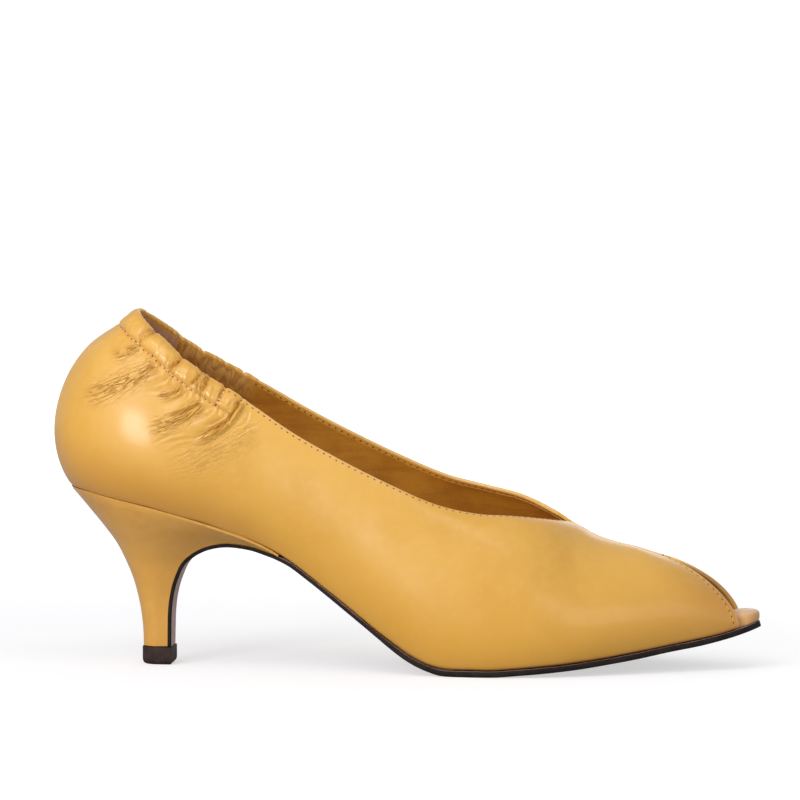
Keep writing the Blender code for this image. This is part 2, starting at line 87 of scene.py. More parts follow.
# %% Bottom line
Bottom = namedtuple("Bottom", "along lift spring")
BOTTOM = (
    Bottom(0.019, 1.000, 0.00),
    Bottom(0.050, 0.984, 0.00),
    Bottom(0.083, 0.956, 0.00),
    Bottom(0.133, 0.912, 0.00),
    Bottom(0.188, 0.853, 0.00),
    Bottom(0.250, 0.775, 0.00),
    Bottom(0.300, 0.695, 0.00),
    Bottom(0.333, 0.618, 0.00),
    Bottom(0.367, 0.520, 0.00),
    Bottom(0.400, 0.417, 0.00),
    Bottom(0.433, 0.312, 0.00),
    Bottom(0.467, 0.206, 0.00),
    Bottom(0.492, 0.129, 0.00),
    Bottom(0.517, 0.065, 0.00),
    Bottom(0.542, 0.022, 0.00),
    Bottom(0.567, 0.000, 0.00),
    Bottom(0.625, 0.000, 0.00),
    Bottom(0.667, 0.000, 0.045),
    Bottom(0.708, 0.000, 0.10),
    Bottom(0.750, 0.000, 0.17),
    Bottom(0.792, 0.000, 0.265),
    Bottom(0.833, 0.000, 0.37),
    Bottom(0.875, 0.000, 0.50),
    Bottom(0.917, 0.000, 0.615),
    Bottom(0.958, 0.000, 0.775),
    Bottom(1.000, 0.000, 1.00),
)


def smoothstep(low, high, value):
    """0 below low, 1 above high and a soft step between them."""
    share = np.clip((value - low) / (high - low), 0.0, 1.0)
    return share * share * (3.0 - 2.0 * share)


def monotone(xs, ys):
    """A smooth curve through rows of a table that never swings past them."""
    xs, ys = np.asarray(xs, float), np.asarray(ys, float)
    step = np.diff(xs)
    slope = np.diff(ys) / step
    tangent = np.concatenate(([slope[0]], np.zeros(len(xs) - 2), [slope[-1]]))
    for i in range(1, len(xs) - 1):
        if slope[i - 1] * slope[i] > 0:
            before, after = 2 * step[i] + step[i - 1], step[i] + 2 * step[i - 1]
            tangent[i] = (before + after) / (before / slope[i - 1] + after / slope[i])

    def value(x):
        i = int(np.clip(np.searchsorted(xs, x) - 1, 0, len(xs) - 2))
        t = float(np.clip((x - xs[i]) / step[i], 0.0, 1.0))
        return (ys[i] * (1 + 2 * t) * (1 - t) ** 2 + step[i] * tangent[i] * t * (1 - t) ** 2
                + ys[i + 1] * t * t * (3 - 2 * t) - step[i] * tangent[i + 1] * t * t * (1 - t))

    return value


def through(points, t):
    """A point of the smooth curve through points, t of them along it."""
    points = np.asarray(points, float)
    i = int(np.clip(math.floor(t), 0, len(points) - 2))
    s = t - i
    a, b = points[i], points[i + 1]
    before = points[i - 1] if i > 0 else 2 * a - b
    after = points[i + 2] if i + 2 < len(points) else 2 * b - a
    return 0.5 * (2 * a + (b - before) * s + (2 * before - 5 * a + 4 * b - after) * s * s
                  + (3 * a - before - 3 * b + after) * s ** 3)


lift_share = monotone([r.along for r in BOTTOM], [r.lift for r in BOTTOM])
spring_share = monotone([r.along for r in BOTTOM], [r.spring for r in BOTTOM])


def feather_height(x):
    """Height of the line where upper and sole meet, x metres in front of the back."""
    along = x / LENGTH
    return (SOLE_THICKNESS + lift_share(along) * (HEEL_HEIGHT - SOLE_THICKNESS)
            + spring_share(along) * TOE_SPRING)


def centre_line(x):
    """How far the sole's middle line swings inwards, x metres in front of the back."""
    return TIP_SWING * smoothstep(0.6, 1.0, x / LENGTH)


def width_scale(along):
    """The width that a section's shares are shares of: the seat's behind, the ball's in front."""
    return SEAT_WIDTH + (BALL_WIDTH - SEAT_WIDTH) * smoothstep(0.25, 0.50, along)


print("feather line under the ball:", round(feather_height(0.6 * LENGTH) / MM, 2), "mm")

# %% [markdown]
# The upper is one strip of leather that runs from the toe round the outer side, round the heel and
# back along the inner side. Each row below is one section of it, a curve from the feather line up to
# the collar or to the ridge of the vamp, in shares of the sizes above.

# %% Sections of the upper
Section = namedtuple("Section", "foot outer inner top top_outer top_inner rise lift turn "
                                "low_out low_up high_out high_drop lean")
SECTIONS = (
    Section(0.019, 0.000, 0.000, 0.114, 0.000, 0.000, 1.000, 0.00, 90, 0.20, 0.25, 0.50, 0.23, 0.00),
    Section(0.027, 0.175, 0.175, 0.119, 0.117, 0.117, 1.000, 0.00, 66, 0.19, 0.25, 0.43, 0.23, 0.00),
    Section(0.048, 0.322, 0.318, 0.129, 0.217, 0.217, 0.978, 0.00, 45, 0.19, 0.26, 0.34, 0.24, 0.00),
    Section(0.083, 0.427, 0.419, 0.153, 0.307, 0.310, 0.940, 0.04, 26, 0.18, 0.28, 0.26, 0.25, 0.05),
    Section(0.133, 0.489, 0.474, 0.188, 0.384, 0.388, 0.877, 0.20, 12, 0.20, 0.30, 0.20, 0.26, 0.15),
    Section(0.188, 0.501, 0.474, 0.233, 0.435, 0.435, 0.832, 0.36, 4, 0.20, 0.32, 0.16, 0.28, 0.25),
    Section(0.250, 0.491, 0.443, 0.288, 0.478, 0.466, 0.788, 0.54, 0, 0.19, 0.33, 0.14, 0.28, 0.33),
    Section(0.325, 0.436, 0.348, 0.350, 0.472, 0.454, 0.779, 0.72, 0, 0.20, 0.32, 0.14, 0.27, 0.33),
    Section(0.400, 0.399, 0.293, 0.417, 0.427, 0.408, 0.888, 0.76, 0, 0.20, 0.27, 0.14, 0.22, 0.33),
    Section(0.475, 0.409, 0.319, 0.483, 0.390, 0.381, 1.040, 0.79, 0, 0.20, 0.25, 0.15, 0.18, 0.33),
    Section(0.542, 0.464, 0.389, 0.546, 0.373, 0.376, 1.127, 0.85, 0, 0.19, 0.26, 0.18, 0.14, 0.33),
    Section(0.608, 0.500, 0.454, 0.604, 0.330, 0.335, 1.111, 0.89, 0, 0.19, 0.29, 0.22, 0.09, 0.33),
    Section(0.667, 0.503, 0.495, 0.658, 0.249, 0.251, 1.097, 0.66, 0, 0.20, 0.31, 0.27, 0.05, 0.33),
    Section(0.712, 0.484, 0.495, 0.704, 0.130, 0.132, 1.058, 0.27, -4, 0.22, 0.34, 0.34, 0.01, 0.33),
    Section(0.754, 0.442, 0.469, 0.738, 0.000, 0.000, 1.006, 0.00, -8, 0.24, 0.37, 0.42, 0.02, 0.33),
    Section(0.800, 0.381, 0.419, 0.767, 0.000, 0.000, 0.884, 0.00, -14, 0.24, 0.41, 0.45, 0.03, 0.33),
    Section(0.846, 0.312, 0.351, 0.794, 0.000, 0.000, 0.792, 0.00, -20, 0.22, 0.44, 0.43, 0.03, 0.35),
    Section(0.892, 0.243, 0.270, 0.819, 0.000, 0.000, 0.714, 0.00, -24, 0.18, 0.46, 0.38, 0.03, 0.37),
    Section(0.932, 0.185, 0.198, 0.842, 0.000, 0.000, 0.622, 0.15, -26, 0.13, 0.46, 0.29, 0.06, 0.42),
    Section(0.956, 0.149, 0.155, 0.856, 0.000, 0.000, 0.560, 0.30, -26, 0.09, 0.41, 0.16, 0.12, 0.48),
    Section(0.974, 0.122, 0.122, 0.866, 0.000, 0.000, 0.508, 0.42, -24, 0.05, 0.35, 0.03, 0.18, 0.53),
)
THROAT = 14
LAST = len(SECTIONS) - 1

Tip = namedtuple("Tip", "along half")
TIP = (Tip(0.985, 0.098), Tip(0.992, 0.070), Tip(0.998, 0.035))


def section_handles(row, side):
    """The four handles of one section's curve, from feather line to top."""
    outer = side < 0
    width = width_scale(row.foot)
    foot_x, top_x = row.foot * LENGTH, row.top * LENGTH
    foot_out = (row.outer if outer else row.inner) * width
    top_out = (row.top_outer if outer else row.top_inner) * width
    reach = np.clip(row.foot / SECTIONS[THROAT].foot, 0.0, 1.0)
    rise = row.rise * (COLLAR_RISE + (VAMP_RISE - COLLAR_RISE) * reach)
    rise += 0.0 if outer else row.lift * MEDIAL_LIFT
    foot_z = feather_height(foot_x) + GAP
    out = np.array([-math.sin(math.radians(row.turn)), side * math.cos(math.radians(row.turn)), 0.0])
    across = out if row.turn > 0 else np.array([0.0, side, 0.0])
    foot = np.array([foot_x, centre_line(foot_x) + side * foot_out, foot_z])
    top = np.array([top_x, centre_line(top_x) + side * top_out, foot_z + rise])
    low = foot + out * row.low_out * rise + np.array([0.0, 0.0, row.low_up * rise])
    high = top + across * row.high_out * rise
    high += np.array([row.lean * (foot_x - top_x), 0.0, -row.high_drop * rise])
    return np.array([foot, low, high, top])


outer_handles = [section_handles(row, -1) for row in reversed(SECTIONS[1:])]
inner_handles = [section_handles(row, 1) for row in SECTIONS[1:]]
HANDLES = np.array(outer_handles + [section_handles(SECTIONS[0], -1)] + inner_handles)
print(len(HANDLES), "sections round the strip")

# %% [markdown]
# A fine sheet needs its columns close together where the collar is gathered and can have them
# further apart along the smooth vamp. The columns of both sides mirror each other, so that the two
# halves meet point for point along the ridge. In each column the rows are close together in the
# casing and below it, where the creases are.

# %% Columns and rows of the leather
FINE_REACH = 76 * MM
FINE_STEP = 0.37 * MM
COARSE_STEP = 1.45 * MM
PEEP_REACH = 2.8 * MM
PEEP_STEP = 0.4 * MM
CASING_ROWS = 19
CREASE_ROWS = 68
CREASE_STEP = 0.42 * MM
LOW_ROWS = 22


def net_at(stations):
    """Handles of the sections at the given stations, with both sides joined along the ridge."""
    net = np.array([through(HANDLES, s) for s in stations])
    for i, station in enumerate(stations):
        if abs(station - LAST) >= THROAT:
            far = len(stations) - 1 - i
            ridge = 0.5 * (net[i, 3] + net[far, 3])
            ridge[1] = centre_line(ridge[0])
            net[i, 3] = net[far, 3] = ridge
    return net


def one_side_offsets():
    """How far from the back each column lies, in sections, from the spacing wanted on the edge."""
    offsets = np.linspace(0.0, LAST, LAST * 40 + 1)
    edge = np.array([through(HANDLES, LAST - u)[3] for u in offsets])
    run = np.concatenate(([0.0], np.cumsum(np.linalg.norm(np.diff(edge, axis=0), axis=1))))
    fine = np.arange(0.0, FINE_REACH, FINE_STEP)
    front = HANDLES[1].mean(axis=0) - HANDLES[0].mean(axis=0)
    trim = 0.5 * WALL / np.linalg.norm(front)
    finish = np.interp(LAST - trim, offsets, run)
    peep = finish - np.arange(PEEP_REACH, -0.01 * MM, -PEEP_STEP)
    coarse = np.linspace(FINE_REACH, peep[0], int((peep[0] - FINE_REACH) / COARSE_STEP))
    wanted = np.interp(np.concatenate((fine, coarse[:-1], peep)), run, offsets)
    throat = int(np.argmin(np.abs(wanted - THROAT)))
    wanted[throat] = THROAT
    return wanted


offsets = one_side_offsets()
stations = np.concatenate((LAST - offsets[::-1], LAST + offsets[1:]))
back_column = len(offsets) - 1
net = net_at(stations)
from_back = np.abs(stations - LAST)
collar_share = 1.0 - smoothstep(THROAT - 1.3, THROAT - 0.02, from_back)
ridge_columns = from_back >= THROAT
print(len(stations), "columns,", int(ridge_columns.sum()), "of them along the ridge")

# %% Lay the plain surface
ARC_SAMPLES = 97
ts = np.linspace(0.0, 1.0, ARC_SAMPLES)
curve_weights = np.array([(1 - ts) ** 3, 3 * ts * (1 - ts) ** 2, 3 * ts * ts * (1 - ts), ts ** 3]).T
curves = np.einsum("tk,nkc->ntc", curve_weights, net)
arc = np.concatenate([np.zeros((len(net), 1)),
                      np.cumsum(np.linalg.norm(np.diff(curves, axis=1), axis=2), axis=1)], axis=1)
total = arc[:, -1]
top_edge = net[:, 3]
edge_run = np.concatenate(([0.0], np.cumsum(np.linalg.norm(np.diff(top_edge, axis=0), axis=1))))
along = edge_run - edge_run[back_column]


def points_below(distance):
    """Surface points at distances below the top edge, given [column][row]."""
    found = np.empty(distance.shape + (3,))
    for i in range(len(net)):
        t = np.interp(total[i] - distance[i], arc[i], ts)
        weights = np.array([(1 - t) ** 3, 3 * t * (1 - t) ** 2, 3 * t * t * (1 - t), t ** 3]).T
        found[i] = weights @ net[i]
    return found


FIRST_ROW = 0.85 * MM
CREASED_SHARE = 0.62
start = FIRST_ROW * collar_share
body = total - CASING_WIDTH
crease_depth = np.minimum(CREASE_ROWS * CREASE_STEP, CREASED_SHARE * body)
casing_rows = start[:, None] + (CASING_WIDTH - start)[:, None] * np.linspace(0, 1, CASING_ROWS + 1)
crease_rows = CASING_WIDTH + crease_depth[:, None] * np.linspace(0, 1, CREASE_ROWS + 1)[1:]
low_rows = (CASING_WIDTH + crease_depth)[:, None] + (body - crease_depth)[:, None] \
    * np.linspace(0, 1, LOW_ROWS + 1)[1:]
below = np.concatenate((casing_rows, crease_rows, low_rows), axis=1)
plain = points_below(below)
s_mm = np.repeat(along[:, None], below.shape[1], axis=1) / MM
d_mm = below / MM
print("sheet of", plain.shape[0], "by", plain.shape[1], "points, edge",
      round(along[0] / MM), "to", round(along[-1] / MM), "mm")

# %% Outward directions
RIDGE_REACH = 1.2 * MM


def outward(points):
    """Outward normals of a sheet with rows down from its edge, shared by both sides at the ridge."""
    a = np.gradient(points, axis=0)
    down = np.gradient(points, axis=1)
    normal = np.cross(-down, a)
    normal /= np.linalg.norm(normal, axis=2, keepdims=True)
    joined = normal[:, 0] + normal[::-1, 0]
    joined[:, 1] = 0.0
    joined /= np.maximum(np.linalg.norm(joined, axis=1, keepdims=True), 1e-9)
    fade = np.exp(-below / RIDGE_REACH) * ridge_columns[:, None]
    normal = normal * (1 - fade[..., None]) + joined[:, None] * fade[..., None]
    return normal / np.linalg.norm(normal, axis=2, keepdims=True)


normals = outward(plain)
print("the back of the collar faces", [round(float(v), 2) for v in normals[back_column, 0]])

# %% [markdown]
# The elastic draws the casing together at a few pinches, and the leather between two pinches stands
# up as a puff. Each pinch is a line across the casing, from the collar's edge to the seam. Its three
# places are in millimetres from the back, negative on the outer side, and its floor is how much puff
# is left in the pinch. At the very back the elastic lies deepest: there the puff is flatter, the edge
# stands up a little and the leather is drawn in under the casing.

# %% Puffs of the casing
Pinch = namedtuple("Pinch", "edge middle seam floor")
PINCHES = (
    Pinch(-62.0, -60.0, -58.0, 0.00),
    Pinch(-58.6, -57.0, -55.8, 0.06),
    Pinch(-51.4, -50.6, -49.6, 0.16),
    Pinch(-45.0, -44.3, -43.6, 0.34),
    Pinch(-41.6, -40.6, -38.2, 0.14),
    Pinch(-33.5, -31.8, -29.4, 0.08),
    Pinch(-20.0, -17.0, -16.6, 0.22),
    Pinch(9.5, 8.8, 8.0, 0.60),
    Pinch(26.8, 25.6, 24.0, 0.45),
    Pinch(35.6, 34.2, 32.6, 0.05),
    Pinch(44.5, 44.0, 43.0, 0.55),
    Pinch(51.4, 50.2, 49.0, 0.05),
    Pinch(57.5, 57.0, 56.0, 0.00),
)
FULL_LENGTH = 12.5
TALLEST = 1.08
CASING_MM = CASING_WIDTH / MM
Window = namedtuple("Window", "begins full lasts ends")
PUFFED = Window(-62.0, -55.0, 53.0, 57.5)
GATHERED = Window(-60.0, -52.0, 52.0, 60.0)
CASED = Window(-57.5, -50.5, 51.0, 58.0)
BACK_FLATTER = 0.55
BACK_REACH = 7.5
BACK_DRAW = 1.0 * MM
BACK_RISE = 0.6 * MM


def within(s, window):
    """How far inside a window of the edge each place is, from 0 to 1. All places are in mm."""
    return smoothstep(window.begins, window.full, s) * (1 - smoothstep(window.lasts, window.ends, s))


def back_settle(s, d):
    """How far the leather lies inside the last at the back of the casing."""
    below_edge = smoothstep(0.5, 4.5, d) * (1 - smoothstep(CASING_MM, 22.0, d))
    return -BACK_DRAW * np.exp(-(s / 10.0) ** 2) * below_edge


def casing_puff(s, d):
    """Height of the casing's puffs, as a share of CASING_PUFF, and how open each place is."""
    band = np.clip(d / CASING_MM, 0.0, 1.0)
    table = np.array([[p.edge, p.middle, p.seam] for p in PINCHES])
    floors = np.array([p.floor for p in PINCHES])
    lower = np.clip(band * 2 - 1, 0, 1)
    upper = np.clip(band * 2, 0, 1)
    places = table[:, 0, None, None] * (1 - upper) + table[:, 1, None, None] * (upper - lower)
    places = places + table[:, 2, None, None] * lower
    open_share = np.zeros_like(s)
    for k in range(len(PINCHES) - 1):
        a, b = places[k], places[k + 1]
        inside = (s >= a) & (s < b)
        t = np.clip((s - a) / (b - a), 0, 1)
        arch = np.maximum(1 - np.abs(2 * t - 1) ** 3.0, 0.0) ** 0.60
        floor = floors[k] + (floors[k + 1] - floors[k]) * t
        tall = np.minimum(TALLEST, np.sqrt((b - a) / FULL_LENGTH))
        open_share = np.where(inside, (floor + (1 - floor) * arch) * tall, open_share)
    ends = within(s, PUFFED) * (1 - BACK_FLATTER * np.exp(-(s / BACK_REACH) ** 2))
    profile = np.sin(math.pi * np.clip(1 - band, 0, 1) * 0.965) ** 0.62
    profile = np.where(d < CASING_MM, profile, 0.0)
    return open_share * profile * ends, open_share * ends


puff, openness = casing_puff(s_mm, d_mm)
plain += normals * back_settle(s_mm, d_mm)[..., None]
print("tallest puff", round(float(puff.max()) * CASING_PUFF / MM, 2), "mm")

# %% [markdown]
# Below the seam the gathered leather runs out in creases that fan forward and down. The main ones
# are given one by one as short paths of (along, below), in millimetres from the back and from the edge.
# A fan is a few finer ones between a first and a last. A crease is a soft trough with a ridge on each
# side. It could also be painted into a bump texture, but a trough that is really there catches the
# light from every side and shows in the outline.

# %% Creases of the leather
Crease = namedtuple("Crease", "depth width bulge path")
CREASES = (
    Crease(0.80, 0.44, 0.80, ((-58.6, 0.0), (-56.9, 5.4), (-55.6, 10.0), (-52.3, 14.7),
                              (-49.8, 17.6), (-45.5, 22.9))),
    Crease(0.52, 0.42, 0.34, ((-36.6, 8.6), (-35.6, 11.9), (-33.0, 15.1), (-29.9, 17.8))),
    Crease(0.62, 0.46, 0.42, ((-44.9, 8.5), (-42.6, 13.1), (-39.8, 16.9), (-36.6, 20.3), (-33.0, 23.0))),
    Crease(0.36, 0.36, 0.12, ((-31.4, 7.2), (-30.6, 10.0), (-29.3, 12.9))),
    Crease(0.22, 0.40, 0.05, ((-61.8, 3.2), (-61.9, 5.0), (-61.8, 7.4))),
    Crease(0.30, 0.45, 0.08, ((-53.9, 9.2), (-51.0, 13.6), (-47.6, 17.0))),
    Crease(0.24, 0.40, 0.06, ((-50.4, 9.0), (-48.2, 12.4), (-46.2, 15.0))),
    Crease(0.22, 0.40, 0.05, ((-38.8, 9.2), (-37.6, 12.0), (-35.4, 14.8))),
    Crease(0.20, 0.38, 0.04, ((-21.8, 9.0), (-19.4, 12.0), (-17.4, 14.0))),
    Crease(0.26, 0.42, 0.06, ((-33.8, 8.8), (-32.0, 12.4), (-29.0, 16.4), (-25.6, 19.6))),
)

print(len(CREASES), "creases placed one by one")

# %% Fans of finer creases
Fan = namedtuple("Fan", "first last bow count depth width")
FANS = (
    Fan(((-16.9, 8.4), (-12.1, 15.9)), ((-17.6, 10.8), (-13.6, 17.6)), -0.5, 3, 0.20, 0.30),
    Fan(((-22.6, 8.8), (-13.0, 25.4)), ((-28.6, 8.8), (-15.9, 31.4)), -0.9, 6, 0.24, 0.32),
    Fan(((-46.1, 8.8), (-30.4, 29.1)), ((-44.4, 13.0), (-35.6, 27.2)), -1.2, 4, 0.20, 0.32),
    Fan(((-56.6, 4.0), (-53.0, 11.0)), ((-55.4, 3.0), (-52.4, 8.6)), 0.4, 3, 0.16, 0.30),
    Fan(((-60.4, 6.0), (-54.0, 16.0)), ((-66.5, 5.0), (-59.0, 17.0)), -0.6, 7, 0.13, 0.32),
    Fan(((-41.0, 22.0), (-33.0, 31.0)), ((-56.0, 20.0), (-42.0, 35.0)), -0.8, 10, 0.09, 0.36),
    Fan(((-15.4, 0.4), (-17.4, 7.2)), ((-20.4, 0.6), (-18.6, 7.0)), 0.5, 4, 0.22, 0.28),
    Fan(((-42.4, 0.6), (-41.2, 7.6)), ((-44.4, 0.8), (-43.4, 7.8)), 0.3, 3, 0.20, 0.28),
)
print(sum(fan.count for fan in FANS), "finer creases in", len(FANS), "fans")

# %% The shape of one crease
Profile = namedtuple("Profile", "height at wide")
RIDGE = Profile(0.34, 1.9, 1.1)
BULGE = Profile(1.00, 2.6, 1.9)
MARK_WIDTH = 0.8
FULL_MARK_DEPTH = 0.35
FADES = (0.18, 0.45)


def crease_field(s, d, path, width, fade_in, fade_out):
    """Signed distance from a path in widths, how strong the crease is there, and the way along it."""
    path = np.array(path, float)
    steps = np.diff(path, axis=0)
    lengths = np.linalg.norm(steps, axis=1)
    starts = np.concatenate(([0.0], np.cumsum(lengths)))
    nearest = np.full(s.shape, 1e9)
    side = np.zeros(s.shape)
    run = np.zeros(s.shape)
    for (a_s, a_d), (step_s, step_d), length, begun in zip(path, steps, lengths, starts):
        t = np.clip(((s - a_s) * step_s + (d - a_d) * step_d) / length ** 2, 0, 1)
        off_s, off_d = s - a_s - t * step_s, d - a_d - t * step_d
        away = np.hypot(off_s, off_d)
        closer = away < nearest
        nearest = np.where(closer, away, nearest)
        side = np.where(closer, np.sign(step_s * off_d - step_d * off_s), side)
        run = np.where(closer, (begun + t * length) / starts[-1], run)
    strength = smoothstep(-0.02, fade_in, run) * (1 - smoothstep(1 - fade_out, 1.02, run))
    return nearest * side / width, strength, run * starts[-1]


def add_crease(height, valley, s, d, crease, shade, fades=FADES):
    """Presses one crease into height, in mm, and marks its valley for the finish's painted shade."""
    path = np.array(crease.path)
    reach = 6 * crease.width + 2.0
    near = ((s > path[:, 0].min() - reach) & (s < path[:, 0].max() + reach)
            & (d > path[:, 1].min() - reach) & (d < path[:, 1].max() + reach))
    r, strength, _ = crease_field(s[near], d[near], crease.path, crease.width, *fades)
    trough = np.exp(-r ** 2)
    ridges = RIDGE.height * np.exp(-((np.abs(r) - RIDGE.at) / RIDGE.wide) ** 2)
    behind = BULGE.height * np.exp(-((r - BULGE.at) / BULGE.wide) ** 2)
    height[near] += strength * (crease.depth * (ridges - trough) + crease.bulge * behind)
    mark = strength * np.exp(-(r / MARK_WIDTH) ** 2) * min(1.0, crease.depth / FULL_MARK_DEPTH)
    valley[near] = np.maximum(valley[near], shade * mark)


def fan_creases(fan, chance):
    """The creases of a fan, spread evenly between its first and its last with a little chance."""
    made = []
    first, last = np.array(fan.first), np.array(fan.last)
    for k in range(fan.count):
        share = k / (fan.count - 1)
        a, b = first * (1 - share) + last * share
        a += [chance.uniform(-0.25, 0.25), chance.uniform(-0.4, 0.6)]
        b += [chance.uniform(-0.5, 0.5), chance.uniform(-2.2, 1.0)]
        across = np.array([a[1] - b[1], b[0] - a[0]]) / np.linalg.norm(b - a)
        middle = 0.5 * (a + b) + across * (fan.bow + chance.uniform(-0.3, 0.3))
        depth = fan.depth * chance.uniform(0.7, 1.25)
        width = fan.width * chance.uniform(0.85, 1.15)
        made.append(Crease(depth, width, 0.0, (tuple(a), tuple(middle), tuple(b))))
    return made


def mirrored(crease):
    """The crease's counterpart on the inner side, where the collar runs higher and a bit longer."""
    path = tuple((-s * 0.98 + 0.4, d * 1.04) for s, d in crease.path)
    return Crease(crease.depth * 0.9, crease.width, crease.bulge, path)


print("a crease has a soft ridge", RIDGE.at, "widths from its middle, to each side")

# %% Press the creases in
MAIN_SHADE, FAN_SHADE, PINCH_SHADE = 0.9, 0.4, 0.8
PINCH_DEPTH, PINCH_WIDTH = 0.42, 0.32
PINCH_FADES = (0.30, 0.10)
height = np.zeros_like(s_mm)
valley = np.zeros_like(s_mm)
chance = random.Random(7)
all_creases = [(crease, MAIN_SHADE) for crease in CREASES]
for fan in FANS:
    all_creases += [(crease, FAN_SHADE) for crease in fan_creases(fan, chance)]
for crease, shade in all_creases:
    add_crease(height, valley, s_mm, d_mm, crease, shade)
    add_crease(height, valley, s_mm, d_mm, mirrored(crease), shade)
for pinch in PINCHES[2:-1]:
    line = ((pinch.edge, 0.0), (pinch.middle, CASING_MM / 2), (pinch.seam, CASING_MM + 0.5))
    fold = Crease(PINCH_DEPTH * (1 - pinch.floor), PINCH_WIDTH, 0.0, line)
    add_crease(height, valley, s_mm, d_mm, fold, PINCH_SHADE, PINCH_FADES)
print(len(all_creases), "creases a side, deepest", round(float(-height.min()), 2), "mm")

# %% [markdown]
# Soft leather is never quite smooth. A few broad swellings stand between the creases, small gathers
# run across each puff, the leather puckers just under the seam, and a slow wave of less than a tenth
# of a millimetre covers the rest. Swellings are listed with their turn in degrees. The waves
# are sums of seeded sines, which come out the same each time.

# %% Swellings
Swelling = namedtuple("Swelling", "s d long wide turn height")
SWELLINGS = (
    Swelling(-33.6, 12.0, 3.4, 1.5, 55, 0.50),
    Swelling(-38.4, 15.4, 5.4, 1.9, 52, 0.72),
    Swelling(-47.6, 15.6, 6.5, 2.0, 57, 0.62),
    Swelling(-41.6, 22.0, 5.0, 2.2, 52, 0.34),
    Swelling(-24.6, 17.0, 6.0, 1.6, 60, 0.26),
    Swelling(-60.5, 14.0, 7.0, 3.0, 60, 0.24),
    Swelling(-53.8, 5.2, 3.0, 1.4, 75, 0.40),
)
for row in SWELLINGS:
    for side in (1, -1):
        turn = math.radians(row.turn) * side
        ds, dd = s_mm - row.s * side, d_mm - row.d
        run = ds * math.cos(turn) + dd * math.sin(turn)
        wide = -ds * math.sin(turn) + dd * math.cos(turn)
        height += row.height * np.exp(-(run / row.long) ** 2 - (wide / row.wide) ** 2)
print(2 * len(SWELLINGS), "swellings")

# %% Gathers, puckers and slow waves
GATHER_HEIGHT = 0.075
PUCKER_HEIGHT = 0.10
PUCKER_AT, PUCKER_WIDE = 9.2, 1.6
SLOW_HEIGHT = 0.07


def waves(s, d, seed, count, lengths, slant):
    """A sum of seeded sine waves over the leather, between -1 and 1 or so."""
    dice = random.Random(seed)
    total_wave = np.zeros_like(s)
    for _ in range(count):
        length = dice.uniform(*lengths)
        turn = math.radians(dice.gauss(slant, 22))
        phase = dice.uniform(0, math.tau)
        total_wave += np.sin((s * math.cos(turn) + d * math.sin(turn)) * math.tau / length + phase)
    return total_wave / math.sqrt(count)


gathered = within(s_mm, GATHERED)
gathers = waves(s_mm, d_mm * 0.25, 3, 9, (1.4, 4.5), 0)
across_casing = np.sin(math.pi * np.clip(d_mm / CASING_MM, 0, 1)) * (d_mm < CASING_MM)
height += GATHER_HEIGHT * gathers * gathered * across_casing
puckers = waves(s_mm, d_mm * 0.35, 5, 8, (1.6, 3.2), 0)
under_seam = np.exp(-((d_mm - PUCKER_AT) / PUCKER_WIDE) ** 2) * (d_mm > CASING_MM)
height += PUCKER_HEIGHT * puckers * gathered * under_seam
slow = waves(s_mm, d_mm, 11, 8, (14, 34), 30)
height += SLOW_HEIGHT * slow * smoothstep(2, 14, d_mm)
print("gathers reach", round(float(np.abs(GATHER_HEIGHT * gathers).max()), 2), "mm")

# %% [markdown]
# A seam pulls the leather in. The casing's seam is a shallow groove that wavers a little, as a seam
# fed by hand does, with a dimple at each stitch. The ridge has a fine groove between two beads where
# its two sides are sewn, and at the foot the leather turns in under the sole, less so over the heel.

# %% Seams pressed into the leather
SEAM_START, SEAM_STOP = -49.4, 49.0
SEAM_PITCH = 1.9
SEAM_DEPTH, SEAM_WIDE = 0.26, 0.42
DIMPLE_DEPTH, DIMPLE_WIDE = 0.13, 1.3
SEW_DEPTH, SEW_WIDE = 0.16, 0.40
BEAD_HEIGHT, BEAD_AT, BEAD_WIDE = 0.05, 1.1, 0.5
FOOT_TURN, SEAT_TURN, FOOT_WIDE = 0.45, 0.18, 0.55
SEAT_FROM, SEAT_TO = 62, 92


def seam_line(s):
    """How far below the edge the casing's seam runs, in mm, s mm from the back."""
    return CASING_MM + 0.16 * np.sin(s * 0.9) + 0.10 * np.sin(s * 2.3 + 1.0)


def groove(distance, wide):
    """1 in the middle of a groove, falling softly to 0 on both sides."""
    return np.exp(-(distance / wide) ** 2)


casing_here = within(s_mm, CASED)
from_seam = d_mm - seam_line(s_mm)
seam_groove = groove(from_seam, SEAM_WIDE) * casing_here
stitch_wave = np.cos(math.tau * (s_mm - SEAM_START) / SEAM_PITCH)
height -= SEAM_DEPTH * seam_groove
height -= DIMPLE_DEPTH * stitch_wave * groove(from_seam, DIMPLE_WIDE) * casing_here
ridge_seam = groove(d_mm, SEW_WIDE) * ridge_columns[:, None]
ridge_bead = groove(d_mm - BEAD_AT, BEAD_WIDE) * ridge_columns[:, None]
height += BEAD_HEIGHT * ridge_bead - SEW_DEPTH * ridge_seam
foot_mm = (total[:, None] - below) / MM
over_heel = 1 - smoothstep(SEAT_FROM, SEAT_TO, np.abs(s_mm))
height -= (FOOT_TURN + (SEAT_TURN - FOOT_TURN) * over_heel) * groove(foot_mm, FOOT_WIDE)
print("height runs from", round(float(height.min()), 2), "to", round(float(height.max()), 2), "mm")

# %% [markdown]
# The plain surface is now moved out along its normals by the puffs and the relief. Where the elastic
# pulls the edge together the edge also sinks, so the collar's line dips at each pinch. The wall gets
# thicker inside a puff, because the tube is hollow there, and a little thinner at the edge.

